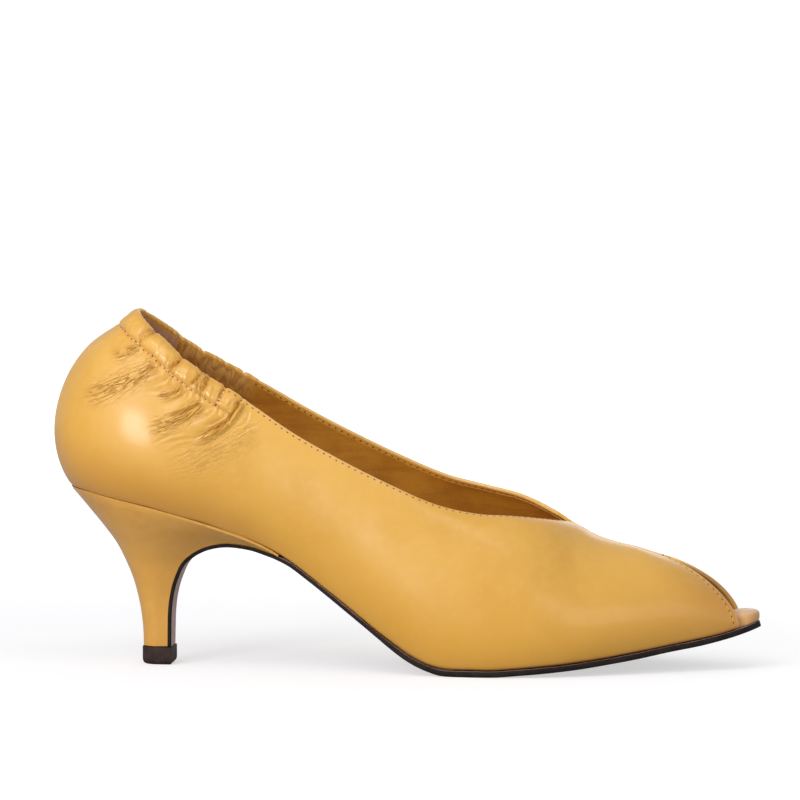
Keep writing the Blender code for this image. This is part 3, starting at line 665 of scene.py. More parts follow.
# %% Shape the outer face
EDGE_SINK = 0.42 * MM
EDGE_THINNER = 0.25 * MM
TUBE_SHARE = 1.4
puff_height = CASING_PUFF * puff
edge_puff = puff_height * (1 - 0.75 * np.exp(-d_mm / 1.6))
closed_share = 1 - np.clip(openness, 0, 1)
upwards = -np.gradient(plain, axis=1)
upwards /= np.linalg.norm(upwards, axis=2, keepdims=True)
pulled = -EDGE_SINK * closed_share * np.exp(-d_mm / 3.5) * casing_here
pulled += BACK_RISE * np.exp(-(s_mm / 9.0) ** 2 - d_mm / 5.0)
outer_face = plain + normals * (puff_height + height * MM)[..., None] + upwards * pulled[..., None]
wall = WALL - EDGE_THINNER * np.exp(-d_mm / 2.0) + TUBE_SHARE * edge_puff
ridge_points = 0.5 * (outer_face[:, 0] + outer_face[::-1, 0])
outer_face[ridge_columns, 0] = ridge_points[ridge_columns]
print("wall from", round(float(wall.min()) / MM, 2), "to", round(float(wall.max()) / MM, 2), "mm")

# %% [markdown]
# The leather is cut flat and then lasted. Here too: a flat grid is added with one vertex for every
# place on the leather, and each vertex is then moved to its place on the last. The sheet goes up the
# outer face, over the folded edge and down the inner face, and its last row is merged with its first,
# so that it closes into a real wall.

# %% Helpers for sheets
def nothing_selected():
    bpy.ops.object.select_all(action="DESELECT")


def only(made):
    """Makes a piece the one that is selected and active."""
    nothing_selected()
    made.select_set(True)
    bpy.context.view_layer.objects.active = made


def flat_sheet(name, columns, rows):
    """A flat grid with columns x rows vertices, the rows running fastest."""
    nothing_selected()
    bpy.ops.mesh.primitive_grid_add(x_subdivisions=rows - 1, y_subdivisions=columns - 1, size=1.0)
    made = bpy.context.object
    made.name = name
    made.data.name = name
    assert len(made.data.vertices) == columns * rows, len(made.data.vertices)
    return made


def lay(made, points):
    """Moves each vertex of a flat sheet to its place, shifted to the frame's origin."""
    placed = np.array(points, float).reshape(-1, 3)
    placed = placed - np.array([REST, 0.0, 0.0])
    made.data.vertices.foreach_set("co", placed.astype(np.float32).ravel())
    made.data.update()
    return made


def give_value(made, name, values):
    """Stores one number for each vertex, for a material to read."""
    layer = made.data.attributes.new(name, "FLOAT", "POINT")
    layer.data.foreach_set("value", np.asarray(values, np.float32).ravel())


def give_uv(made, u, v):
    """Puts the sheet's own two directions, in metres, in its UV map."""
    loops = np.empty(len(made.data.loops), dtype=np.int32)
    made.data.loops.foreach_get("vertex_index", loops)
    pair = np.stack((np.ravel(u)[loops], np.ravel(v)[loops]), axis=1)
    made.data.uv_layers.active.data.foreach_set("uv", pair.astype(np.float32).ravel())


print("sheet helpers ready")

# %% Helpers that work in edit mode
MERGE_REACH = 0.004 * MM


def edit(made, mode="VERT"):
    """Opens a piece in edit mode with nothing in it selected."""
    only(made)
    bpy.ops.object.mode_set(mode="EDIT")
    bpy.ops.mesh.select_mode(type=mode)
    bpy.ops.mesh.select_all(action="DESELECT")


def merge_doubles(made):
    edit(made)
    bpy.ops.mesh.select_all(action="SELECT")
    bpy.ops.mesh.remove_doubles(threshold=MERGE_REACH)
    bpy.ops.object.mode_set(mode="OBJECT")


def face_out(made):
    """Turns all faces outwards."""
    edit(made)
    bpy.ops.mesh.select_all(action="SELECT")
    bpy.ops.mesh.normals_make_consistent(inside=False)
    bpy.ops.object.mode_set(mode="OBJECT")


def take_away(made, chosen):
    """Deletes the faces that chosen, one true or false for each face, picks out."""
    edit(made, "FACE")
    bpy.ops.object.mode_set(mode="OBJECT")
    made.data.polygons.foreach_set("select", chosen)
    bpy.ops.object.mode_set(mode="EDIT")
    bpy.ops.mesh.delete(type="FACE")
    bpy.ops.object.mode_set(mode="OBJECT")


def close_holes(made):
    edit(made, "EDGE")
    bpy.ops.mesh.select_non_manifold(extend=False)
    bpy.ops.mesh.fill_holes(sides=0)
    bpy.ops.object.mode_set(mode="OBJECT")


print("a point is merged with one nearer than", round(MERGE_REACH / MM, 3), "mm")

# %% Helpers that finish a piece
def join(name, parts):
    nothing_selected()
    for part in parts:
        part.select_set(True)
    bpy.context.view_layer.objects.active = parts[0]
    bpy.ops.object.join()
    joined = bpy.context.object
    joined.name = name
    joined.data.name = name
    return joined


def apply_modifiers(made):
    only(made)
    for modifier in list(made.modifiers):
        bpy.ops.object.modifier_apply(modifier=modifier.name)


def smooth(made, angle):
    """Smooth shading across every edge that bends less than the angle, in degrees."""
    only(made)
    bpy.ops.object.shade_smooth_by_angle(angle=math.radians(angle))


def belongs(made, node):
    """Attaches a piece to the root body and hides the node that it stands for, if any."""
    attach(made, "root")
    if node:
        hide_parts(node)


print("helpers ready")

# %% [markdown]
# The collar's leather is folded over its edge, so the wall is at its full thickness for a few
# millimetres inside the edge and thinner below, where the lining lies on it. Inside the casing
# the leather shows the pinches from behind, as folds that stand in towards the foot.

# %% Wall and folded edges of the leather
THIN = 0.42 * MM
FOLD_WIDTH, CASING_FOLD_WIDTH = 2.3, 0.6
FOLD_FADE = 0.4 * MM
PEEP_FOLD, PEEP_FOLD_END = 2.3 * MM, 2.8 * MM
PINCH_INSIDE, WAVE_INSIDE, SEAM_INSIDE = 1.2, 0.36, 0.5
RIM_ROWS = 5
INNER_ROWS = 20

inner_share = np.concatenate(([0.0, 0.06], np.linspace(0.14, 1.0, INNER_ROWS - 2)))
inner_below = start[:, None] + (total - start)[:, None] * inner_share
columns = np.arange(len(stations))


def along_rows(values, wanted):
    """Reads a sheet's values at other distances below the edge."""
    found = np.empty(wanted.shape + values.shape[2:])
    for i in columns:
        if values.ndim == 3:
            for axis in range(3):
                found[i, :, axis] = np.interp(wanted[i], below[i], values[i, :, axis])
        else:
            found[i] = np.interp(wanted[i], below[i], values[i])
    return found


inside_folds = PINCH_INSIDE * closed_share ** 2 * groove(d_mm - CASING_MM / 2, 5.0)
inside_folds += WAVE_INSIDE * waves(s_mm, d_mm * 0.4, 9, 7, (2.0, 4.5), 0) * np.exp(-d_mm / 10)
inside_folds += SEAM_INSIDE * groove(d_mm - CASING_MM, 0.6)
stand = puff_height - inside_folds * casing_here * MM
calm_face = plain + normals * stand[..., None] + upwards * pulled[..., None]
to_outer_end = np.linalg.norm(plain - plain[[0]], axis=2).min(axis=1)
to_inner_end = np.linalg.norm(plain - plain[[-1]], axis=2).min(axis=1)
end_distance = np.where(stations < LAST, to_outer_end, to_inner_end)
fold_width = (FOLD_WIDTH + (CASING_FOLD_WIDTH - FOLD_WIDTH) * casing_here[:, 0]) * MM
past_fold = smoothstep(0, FOLD_FADE, inner_below - fold_width[:, None])
past_peep_fold = smoothstep(PEEP_FOLD, PEEP_FOLD_END, end_distance)[:, None]
folded = np.maximum(collar_share[:, None] * (1 - past_fold), 1 - past_peep_fold)
inner_wall = along_rows(wall, inner_below) - THIN * (1 - folded)
inner_ways = along_rows(normals, inner_below)
inner_face = along_rows(calm_face, inner_below) - inner_ways * inner_wall[..., None]
ridge_inside = 0.5 * (inner_face[:, 0] + inner_face[::-1, 0])
inner_face[ridge_columns, 0] = ridge_inside[ridge_columns]
print("folded edge", round(float(fold_width.max()) / MM, 1), "mm wide, in the casing",
      round(float(fold_width.min()) / MM, 1), "mm")

# %% Roll the edge over
middle = 0.5 * (outer_face[:, 0] + inner_face[:, 0])
half = 0.5 * (outer_face[:, 0] - inner_face[:, 0])
reach = np.linalg.norm(half, axis=1) * collar_share
rim = []
for k in range(1, RIM_ROWS + 1):
    turn = math.pi * k / (RIM_ROWS + 1)
    rim.append(middle + half * math.cos(turn) + upwards[:, 0] * (reach * math.sin(turn))[:, None])
rim = np.array(rim).transpose(1, 0, 2)
loop = np.concatenate((outer_face[:, ::-1], rim, inner_face, outer_face[:, -1:]), axis=1)
outer_count, rim_count = outer_face.shape[1], RIM_ROWS
print("loop of", loop.shape[1], "points round the wall")

# %% Round the two ends of the strip
END_TURNS = (20, 40, 60, 80)


def read_rows(wanted, rows, face, column):
    """Points of one column of a face, at the wanted distances below the edge."""
    return np.array([np.interp(wanted, rows[column], face[column, :, axis]) for axis in range(3)]).T


def inner_partner():
    """For each point of the loop, the point straight through the wall from it."""
    straight_through = []
    for i in (0, -1):
        inside = read_rows(below[i, ::-1], inner_below, inner_face, i)
        outside = read_rows(inner_below[i], below, outer_face, i)
        straight_through.append(np.concatenate((inside, rim[i][::-1], outside, inside[:1])))
    return straight_through


partners = inner_partner()
caps = []
for slot, (i, j) in enumerate(((0, 1), (-1, -2))):
    centre = 0.5 * (loop[i] + partners[slot])
    spread = loop[i] - centre
    away = loop[i] - loop[j]
    away /= np.linalg.norm(away, axis=1, keepdims=True)
    size = np.linalg.norm(spread, axis=1, keepdims=True)
    turned = [centre + spread * math.cos(math.radians(t)) + away * size * math.sin(math.radians(t))
              for t in END_TURNS]
    caps.append(np.array(turned))
for near, far in zip(caps[0], caps[1]):
    for row in (outer_count - 1, outer_count + rim_count):
        both = 0.5 * (near[row] + far[row])
        near[row] = far[row] = both
whole = np.concatenate((caps[0][::-1], loop, caps[1]))
print("strip of", whole.shape[0], "columns with its rounded ends")

# %% Make the leather upper
def with_ends(values):
    """Repeats the first and last columns' values over the rounded ends."""
    extra = len(END_TURNS)
    return np.concatenate((np.repeat(values[:1], extra, axis=0), values,
                           np.repeat(values[-1:], extra, axis=0)))


def round_loop(outer_values, rim_values, inner_values):
    """Values for the whole loop from those of its outer rows, rim and inner rows."""
    rows = np.concatenate((outer_values[:, ::-1], np.repeat(rim_values[:, None], rim_count, axis=1),
                           inner_values, outer_values[:, -1:]), axis=1)
    return with_ends(rows)


upper = flat_sheet("upper_leather", whole.shape[0], whole.shape[1])
lay(upper, whole)
row_distance = round_loop(below, start * 0.5, inner_below)
give_uv(upper, with_ends(np.repeat(along[:, None], loop.shape[1], axis=1)), row_distance)
print("grid of", len(upper.data.vertices), "points laid")

# %% [markdown]
# The finish has to know where on the leather it is: in a crease, at the seam, near the edge or low
# over the heel. Each of these is a number from 0 to 1, except the distance from the edge, and is kept
# at the vertices as an attribute. They could be painted by hand, but here the same fields that
# shaped the leather also mark it, so colour and shape can't slip apart.

# %% Mark places on the leather
# Distances that place the painted highlight along the folded edge and the open toe.
FAR_OFF = 50 * MM
CASING_OFF = 5 * MM
PEEP_OFF = 0.35 * MM
# The painted shade where the leather tucks under over the heel starts at this share of the way down.
TUCKED_FROM = 0.62
# How far the painted shade low round the toe reaches from the open toe.
TOE_SHADE_REACH = 11 * MM
# Over the heel the painted shade along the feather line is weaker by this share.
HEEL_FOOT_LESS = 0.6


def from_edge(distances):
    """Distance from the topline or the open toe, for the painted highlight on the folded edge; kept
    large round the gathered casing.
    """
    edge = np.where(collar_share[:, None] > 0.5, distances + CASING_OFF * casing_here[:, :1], FAR_OFF)
    return np.minimum(edge, end_distance[:, None] + PEEP_OFF)


low_share = below / total[:, None]
none_inside = np.zeros_like(inner_below)
no_rim = np.zeros(len(stations))
MARKS = {
    # painted shade in the valleys of the creases and pinches
    "crease": valley,
    "seam": np.maximum(seam_groove, ridge_seam),
    # painted shade along the feather line, where the leather turns in under the sole
    "foot": groove(foot_mm, 1.0) * (1 - HEEL_FOOT_LESS * over_heel),
    # painted shade low over the heel, where the leather tucks under
    "tucked_shade": smoothstep(TUCKED_FROM, 1.0, low_share) * over_heel,
    # painted shade low round the toe
    "toe": np.exp(-end_distance / TOE_SHADE_REACH)[:, None] * smoothstep(0.15, 0.75, low_share),
    # a share of the way down, which tints the colour towards the sole as painted shade
    "low": low_share,
}
for name, values in MARKS.items():
    give_value(upper, name, round_loop(values, no_rim, none_inside))
edge_rows = from_edge(below), from_edge(start[:, None] * 0)[:, 0], from_edge(inner_below)
give_value(upper, "from_edge", round_loop(*edge_rows))
print("marks:", ", ".join(MARKS), "and from_edge")

# %% [markdown]
# Under each pinch the leather also has hair creases, too fine for a mesh. They run in bundles, so the
# finish draws them as lines of a noise that is stretched along the bundle, as bump and with painted
# shade in their valleys. Each bundle is a path with a reach to both sides, in millimetres, and the
# vertices keep how far along and across the nearest bundle they are.

# %% Bundles of hair creases
BUNDLE_FADES = (0.10, 0.30)
Bundle = namedtuple("Bundle", "reach strength path")
BUNDLES = (
    Bundle(1.8, 1.00, ((-17.2, 8.6), (-14.6, 13.4), (-11.6, 18.2))),
    Bundle(3.0, 1.00, ((-25.8, 8.6), (-21.6, 16.4), (-14.4, 29.0), (-9.5, 37.5))),
    Bundle(2.6, 1.00, ((-45.8, 9.8), (-41.4, 16.8), (-36.0, 24.0), (-29.8, 30.4))),
    Bundle(1.6, 0.80, ((-36.6, 8.6), (-35.6, 11.9), (-33.0, 15.1), (-29.2, 18.4))),
    Bundle(1.7, 0.90, ((-58.4, 1.0), (-56.9, 5.4), (-55.2, 10.6), (-52.3, 15.4), (-45.5, 24.6))),
    Bundle(5.0, 0.34, ((-66.0, 6.0), (-59.0, 16.0), (-48.0, 30.0), (-40.0, 38.0))),
    Bundle(1.5, 0.95, ((-19.6, -0.6), (-17.6, 2.2), (-16.8, 5.4), (-16.9, 8.4))),
    Bundle(1.3, 0.80, ((-33.0, 1.0), (-31.9, 3.6), (-30.9, 7.0), (-28.4, 8.6))),
    Bundle(2.2, 1.00, ((-43.6, 0.2), (-42.6, 4.0), (-41.6, 8.2))),
    Bundle(1.2, 0.60, ((-50.6, 0.6), (-49.9, 7.6))),
)


def bundle_fields():
    """Share of folds at each place, with its way across and along the nearest bundle in millimetres."""
    share, across, run = np.zeros_like(s_mm), np.zeros_like(s_mm), np.zeros_like(s_mm)
    for k, bundle in enumerate(BUNDLES):
        for side in (1, -1):
            path = [(side * s, d) for s, d in bundle.path]
            r, strength, along_path = crease_field(s_mm, d_mm, path, bundle.reach, *BUNDLE_FADES)
            here = bundle.strength * strength * np.exp(-r ** 2)
            nearer = here > share
            share = np.where(nearer, here, share)
            across = np.where(nearer, r * bundle.reach + 13.0 * k, across)
            run = np.where(nearer, along_path + 7.0 * side, run)
    return share, across, run


for name, values in zip(("folds", "fold_across", "fold_run"), bundle_fields()):
    on_rim = no_rim if name == "folds" else values[:, 0]
    give_value(upper, name, round_loop(values, on_rim, none_inside))
print(2 * len(BUNDLES), "bundles of hair creases")

# %% [markdown]
# Along the ridge the two sides of the strip are sewn to each other, so there is no rolled edge there:
# its faces are taken away and the sides merged. The foot's seam and what is left open at the slit's
# end are merged and closed, and the leather is one closed wall.

# %% Open the ridge and close the leather
faces_in_loop = whole.shape[1] - 1
ridge_all = with_ends(ridge_columns)
inside_rim = np.zeros(len(upper.data.polygons), dtype=bool)
for column in range(whole.shape[0] - 1):
    if ridge_all[column] and ridge_all[column + 1]:
        first = column * faces_in_loop + outer_count - 1
        inside_rim[first:first + rim_count + 1] = True
take_away(upper, inside_rim)
merge_doubles(upper)
close_holes(upper)
face_out(upper)
smooth(upper, 75)
belongs(upper, "upper")
print("leather:", len(upper.data.polygons), "faces")

# %% [markdown]
# Inside, the collar's leather is folded over and the lining starts under its edge. The lining is one
# thin sheet, and a softer heel grip lies on it round the back. Both follow the leather, so they read
# its sheet at wider steps.

# %% Lining
def inner_sheet(name, take, distances, gap, thickness, values=None):
    """A thin sheet inside the upper, at the given columns, gap away from the leather's inner face."""
    picked = along_rows(calm_face, distances)[take]
    facing = along_rows(normals, distances)[take]
    thick = along_rows(wall, distances)[take]
    face = picked - facing * (thick + gap)[..., None]
    on_ridge = ridge_columns[take]
    both = 0.5 * (face[:, 0] + face[::-1, 0])
    face[on_ridge, 0] = both[on_ridge]
    sheet = lay(flat_sheet(name, face.shape[0], face.shape[1]), face)
    give_uv(sheet, np.repeat(along[take][:, None], face.shape[1], axis=1), distances[take])
    if values is not None:
        give_value(sheet, "casing", values[take])
    merge_doubles(sheet)
    solid = sheet.modifiers.new("thickness", "SOLIDIFY")
    solid.thickness = thickness
    solid.offset = 1.0
    apply_modifiers(sheet)
    face_out(sheet)
    smooth(sheet, 50)
    return sheet


GRIP_REACH = 26.6 * MM
LINING_GAP, LINING_THICKNESS = 0.02 * MM, 0.40 * MM
LINING_ROWS = 40
PEEP_BARE = 2.1 * MM
FOOT_BARE = 0.6 * MM
UNDER_FOLD = 0.15 * MM
coarse_half = np.arange(back_column, -1, -2)
inside_half = coarse_half[end_distance[coarse_half] > PEEP_BARE]
take = np.array(sorted(set(inside_half) | set(2 * back_column - inside_half)))
lining_start = np.where(ridge_columns, 0.0, fold_width - UNDER_FOLD)
lining_rows = np.linspace(0.0, 1.0, LINING_ROWS) ** 1.4
lining_below = lining_start[:, None] + (total - FOOT_BARE - lining_start)[:, None] * lining_rows
grip_side = smoothstep(GRIP_REACH - 0.4 * MM, GRIP_REACH + 0.2 * MM, np.abs(along))
above_seam = 1 - smoothstep(CASING_WIDTH - 0.4 * MM, CASING_WIDTH - 0.1 * MM, lining_below)
casing_inside = above_seam * (casing_here[:, 0] * grip_side)[:, None]
lining = inner_sheet("lining", take, lining_below, LINING_GAP, LINING_THICKNESS, casing_inside)
belongs(lining, "upper")
print("lining:", len(lining.data.polygons), "faces")

# %% Heel grip
GRIP_GAP, GRIP_THICKNESS = 0.10 * MM, 0.45 * MM
GRIP_START = 0.5 * MM
GRIP_DEPTH, GRIP_ROUNDING = 52 * MM, 14 * MM
GRIP_CLEAR = 5 * MM
GRIP_ROWS = 26
grip_take = np.array([i for i in columns if abs(along[i]) < GRIP_REACH][::3])
grip_end = GRIP_DEPTH - GRIP_ROUNDING * (np.abs(along) / GRIP_REACH) ** 2
grip_end = np.minimum(total - GRIP_CLEAR, grip_end)
grip_below = GRIP_START + (grip_end - GRIP_START)[:, None] * np.linspace(0, 1, GRIP_ROWS)
grip = inner_sheet("heel_grip", grip_take, grip_below, GRIP_GAP, GRIP_THICKNESS)
belongs(grip, None)
print("heel grip:", len(grip.data.polygons), "faces")

# %% [markdown]
# Sole, insole and heel are solids between closed rings. Each has a wall of stacked rings and two
# caps, laid from flat grids in the same way and joined. The rings come from the upper's own feather
# line, so the pieces meet where the leather ends.

# %% Feather outline
def edge_line(side):
    """Points of one side's feather line in plan, from the back to the tip."""
    rows = [(r.foot, r.outer if side < 0 else r.inner) for r in SECTIONS]
    rows += [(r.along, r.half) for r in TIP] + [(1.0, 0.0)]
    return [(f * LENGTH, centre_line(f * LENGTH) + side * w * width_scale(f)) for f, w in rows]


def feather_outline(first, steps, inset):
    """Outer and inner points of the feather line from a section to the tip, drawn in by inset(x)."""
    found = {}
    nudge = 0.02
    for side in (-1, 1):
        line = edge_line(side)
        other = edge_line(-side)
        outline = np.array(other[:0:-1] + line)
        last = len(line) - 1
        outline = np.vstack([outline, line[-2][:1] + (2 * centre_line(LENGTH) - line[-2][1],)])
        points = []
        for k in range(int(round((last - first) * steps)) + 1):
            at = last + first + k / steps
            here = through(outline, at)
            run = through(outline, at + nudge) - through(outline, at - nudge)
            out = np.array([-run[1], run[0]]) / np.linalg.norm(run) * side
            points.append(here - out * inset(here[0]))
        found[side] = np.array(points)
    return found[-1], found[1]


print("feather line of", len(edge_line(1)), "points a side")

# %% Closed skins
CROWN_WIDTH = 30 * MM


def crossed(ring, across, rise=0.0):
    """A ring's two sides joined by straight rows of points, which rise towards the middle."""
    pairs = len(ring) // 2
    left, right = ring[:pairs], ring[:pairs - 1:-1]
    share = np.linspace(0.0, 1.0, across)[None, :, None]
    grid = left[:, None] * (1 - share) + right[:, None] * share
    wide = np.minimum(np.linalg.norm(left - right, axis=1) / CROWN_WIDTH, 1.0)
    grid[..., 2] += rise * wide[:, None] * (1 - (2 * share[..., 0] - 1) ** 2)
    return grid


def border(grid):
    """The points once round a grid, the first one again at the end."""
    return np.concatenate((grid[:, 0], grid[-1, 1:-1], grid[::-1, -1], grid[0, -2:0:-1], grid[:1, 0]))


def closed_skin(name, rings, across, crown=(0.0, 0.0), bevel=0.0):
    """A solid through closed rings of points, each cap crossed by a few rows and crowned."""
    rises = [crown[0]] + [0.0] * (len(rings) - 2) + [crown[1]]
    grids = [crossed(np.array(ring, float), across, rise) for ring, rise in zip(rings, rises)]
    borders = np.array([border(grid) for grid in grids])
    parts = [lay(flat_sheet(name + "_wall", *borders.shape[:2]), borders)]
    for cap in (grids[0], grids[-1]):
        parts.append(lay(flat_sheet(name + "_cap", *cap.shape[:2]), cap))
    made = join(name, parts)
    merge_doubles(made)
    face_out(made)
    if bevel:
        rounding = made.modifiers.new("edges", "BEVEL")
        rounding.width = bevel
        rounding.segments = 3
        rounding.angle_limit = math.radians(50)
        apply_modifiers(made)
    smooth(made, 42)
    return made


def ring_of(outer, inner):
    """One closed ring, out along the outer side and back along the inner one."""
    return list(outer) + list(inner[::-1])


print("closed skins ready")

# %% Insole
INSOLE_STEPS = 6
INSOLE_SHY, TIP_OUT = 0.2 * MM, 2.1 * MM
INSOLE_ROUND = ((0.0, 0.0003), (0.06, 0.0001), (0.14, 0.0), (0.50, 0.0), (0.66, 0.0002), (0.78, 0.0006),
                (0.88, 0.0012), (0.94, 0.0018), (0.98, 0.0027), (1.0, 0.0040))
INSOLE_SINK = 0.7 * MM


def insole_thickness(x):
    """The insole is padded behind its tip and thins to its front edge."""
    pad = smoothstep(0.86, 0.94, x / LENGTH) * (1.0 - smoothstep(0.962, 1.0, x / LENGTH))
    return INSOLE_THICKNESS + TOE_PAD * pad


def insole_rings():
    """Rings from the bottom up: shares of the thickness with how far each is drawn in."""
    rings = []
    for level, draw in INSOLE_ROUND:
        def inset(x, draw=draw):
            return WALL + GAP + INSOLE_SHY - TIP_OUT * smoothstep(0.976, 0.994, x / LENGTH) + draw

        sides = feather_outline(0, INSOLE_STEPS, inset)
        ring = [[(x, y, feather_height(x) + GAP + level * insole_thickness(x)) for x, y in side]
                for side in sides]
        rings.append(ring_of(*ring))
    return rings


insole = closed_skin("insole_cover", insole_rings(), 17, crown=(0.0, -INSOLE_SINK))
upright = np.array([abs(corner.vector.z) for corner in insole.data.vertex_normals])
give_value(insole, "side", 1 - smoothstep(0.35, 0.85, upright))
belongs(insole, "insole")
print("insole:", len(insole.data.polygons), "faces")

# %% [markdown]
# The sole is one thin piece of leather that runs from the tip back to the waist and then down the
# front of the heel to its top piece. The heel is a block covered in the upper's leather, cupped under
# the seat. Both follow one path, so the heel's breast lies on the sole's inner face.

# %% Heel sections and the sole's path
HeelSection = namedtuple("HeelSection", "breast breast_rise back back_rise half flare camber")
HEEL = (
    HeelSection(0.1642, 0.000, 0.1217, 0.000, 0.00, 0.00, 0.00),
    HeelSection(0.1646, 0.184, 0.1210, 0.102, 0.02, 0.02, 0.00),
    HeelSection(0.1654, 0.369, 0.1185, 0.204, 0.05, 0.04, 0.00),
    HeelSection(0.1683, 0.543, 0.1142, 0.304, 0.10, 0.07, 0.00),
    HeelSection(0.1746, 0.714, 0.1075, 0.413, 0.18, 0.12, 0.00),
    HeelSection(0.1867, 0.893, 0.0970, 0.527, 0.31, 0.20, 0.05),
    HeelSection(0.2125, 1.029, 0.0835, 0.643, 0.52, 0.35, 0.18),
    HeelSection(0.2446, 1.090, 0.0660, 0.749, 0.73, 0.54, 0.36),
    HeelSection(0.2800, 1.075, 0.0480, 0.846, 0.88, 0.74, 0.60),
    HeelSection(0.3060, 1.026, 0.0310, 0.935, 0.97, 0.90, 0.85),
    HeelSection(0.3229, 0.983, 0.0215, 0.982, 0.99, 0.99, 0.97),
)
SEAT_SECTION = 7
STEM_ROUND = 0.62
SOLE_LIP = 0.4 * MM
RINGS_A_SECTION = 8


def stem_shape(u):
    """Place along and half width of the stem's outline, as shares: round behind, straight in front."""
    if u < 0.6:
        turn = math.radians(90) * u / 0.6
        return STEM_ROUND * (1 - math.cos(turn)), math.sin(turn)
    return STEM_ROUND + (1 - STEM_ROUND) * (u - 0.6) / 0.4, 1.0


def sole_thickness(share):
    return WAIST_THICKNESS + (SOLE_THICKNESS - WAIST_THICKNESS) * smoothstep(0.42, 0.57, share)


def heel_level(rise, top):
    stem = TOP_PIECE_HEIGHT + GAP
    return stem + rise * (top - stem)


def seat_half(side):
    row = SECTIONS[SEAT_SECTION]
    return (row.outer if side < 0 else row.inner) * width_scale(row.foot)


def sole_path():
    """Rows of the sole's outer face: x, z, outer and inner half width, thickness, way to the inside."""
    rows = []
    stem = STEM_WIDTH / 2
    seat_front = feather_height(SECTIONS[SEAT_SECTION].foot * LENGTH) - WAIST_THICKNESS
    for row in HEEL:
        halves = [stem + row.flare * (seat_half(side) - stem) for side in (-1, 1)]
        rows.append([row.breast * LENGTH, heel_level(row.breast_rise, seat_front), *halves,
                     WAIST_THICKNESS, 0.0, 0.0])
    outer, inner = feather_outline(SEAT_SECTION + 0.25, 4, lambda x: 0.0)
    for (x, y), (_, far) in zip(outer, inner):
        slope = (feather_height(x + 1e-4) - feather_height(x - 1e-4)) / 2e-4
        down = np.array([slope, -1.0]) / math.hypot(slope, 1.0)
        thick = float(sole_thickness(x / LENGTH))
        lip = SOLE_LIP * float(smoothstep(0.34, 0.45, x / LENGTH))
        rows.append([x + down[0] * thick, feather_height(x) + down[1] * thick,
                     lip - y, lip + far, thick, -down[0], -down[1]])
    rows = np.array(rows)
    for i in range(len(HEEL)):
        run = through(rows[:, :2], i + 0.05) - through(rows[:, :2], max(i - 0.05, 0.0))
        rows[i, 5:] = np.array([-run[1], run[0]]) / np.linalg.norm(run)
    return rows


SOLE_PATH = sole_path()


def on_sole_path(at, share, extra=0.0):
    """Point at a share of the sole's thickness, with the two half widths there."""
    x, z, left, right, thick, up_x, up_z = through(SOLE_PATH, at)
    rise = (thick * share + extra) / math.hypot(up_x, up_z)
    return np.array([x + up_x * rise, z + up_z * rise]), left, right


print("sole path of", len(SOLE_PATH), "rows")

# %% Outsole
SOLE_LEVELS = ((0.0, 0.0009), (0.04, 0.0005), (0.14, 0.0002), (0.30, 0.00005), (0.60, 0.0),
               (0.90, 0.00005), (1.0, 0.0002))


def sole_ring(share, draw):
    """The sole's outline at a share of its thickness, drawn in at the sides."""
    breast = len(HEEL) - 1
    stops = [k / RINGS_A_SECTION for k in range(RINGS_A_SECTION * breast)]
    stops += [breast + k / 2 for k in range(2 * (len(SOLE_PATH) - 1 - breast) + 1)]
    outer, inner = [], []
    for at in stops:
        (x, z), left, right = on_sole_path(at, share)
        shift, wide = (right - left) / 2, max((left + right) / 2 - draw, 0.0)
        outer.append((x, shift - wide, z))
        inner.append((x, shift + wide, z))
    return ring_of(outer, inner)


outsole = closed_skin("outsole_leather", [sole_ring(share, draw) for share, draw in SOLE_LEVELS], 9)
belongs(outsole, "outsole")
print("outsole:", len(outsole.data.polygons), "faces")

# %% Covered heel
HEEL_STEPS = 7
HAIR = 0.05 * MM


def heel_rings():
    """Rings from the floor up, each led from the stem's outline towards that of the seat."""
    seat = [side[:SEAT_SECTION * HEEL_STEPS + 1] for side in
            feather_outline(0, HEEL_STEPS, lambda x: 0.0)]
    back_x = seat[0][0][0]
    front_x = seat[0][-1][0]
    steps = len(seat[0]) - 1
    chord_back = feather_height(back_x)
    chord_rise = feather_height(front_x) - chord_back
    rings = []
    for j in range(RINGS_A_SECTION * (len(HEEL) - 1) + 1):
        at_section = j / RINGS_A_SECTION
        row = HeelSection(*through(HEEL, at_section))
        breast = on_sole_path(at_section, 1.0, HAIR)[0]
        back = np.array([row.back * LENGTH, heel_level(row.back_rise, HEEL_HEIGHT)])
        sides = []
        for side, points in zip((-1, 1), seat):
            line = []
            for k, (x, y) in enumerate(points):
                u = k / steps
                stem_at, stem_half = stem_shape(u)
                seat_at = (x - back_x) / (front_x - back_x)
                share = row.half + (row.flare - row.half) * u ** 3
                at = stem_at + share * (seat_at - stem_at)
                wide = STEM_WIDTH / 2 * stem_half
                wide += share * (abs(y) - wide)
                here = back + at * (breast - back)
                here[1] += row.camber * (feather_height(x) - chord_back - seat_at * chord_rise)
                line.append((here[0], side * wide, here[1]))
            sides.append(line)
        rings.append(ring_of(*sides))
    top = [[(x, y, feather_height(x) + GAP - 2 * HAIR) for x, y in points] for points in seat]
    rings.append(ring_of(*top))
    return rings


heel = closed_skin("heel_cover", heel_rings(), 7, bevel=0.35 * MM)
belongs(heel, "heel")
print("heel:", len(heel.data.polygons), "faces")

# %% Top piece
TOP_PIECE_LEVELS = ((0.0, 0.0010), (0.0002, 0.0006), (0.0005, 0.0003), (0.0010, 0.0001), (0.0016, 0.0),
                    (TOP_PIECE_HEIGHT - 0.0005, 0.0), (TOP_PIECE_HEIGHT - 0.0001, 0.0001),
                    (TOP_PIECE_HEIGHT, 0.0004))


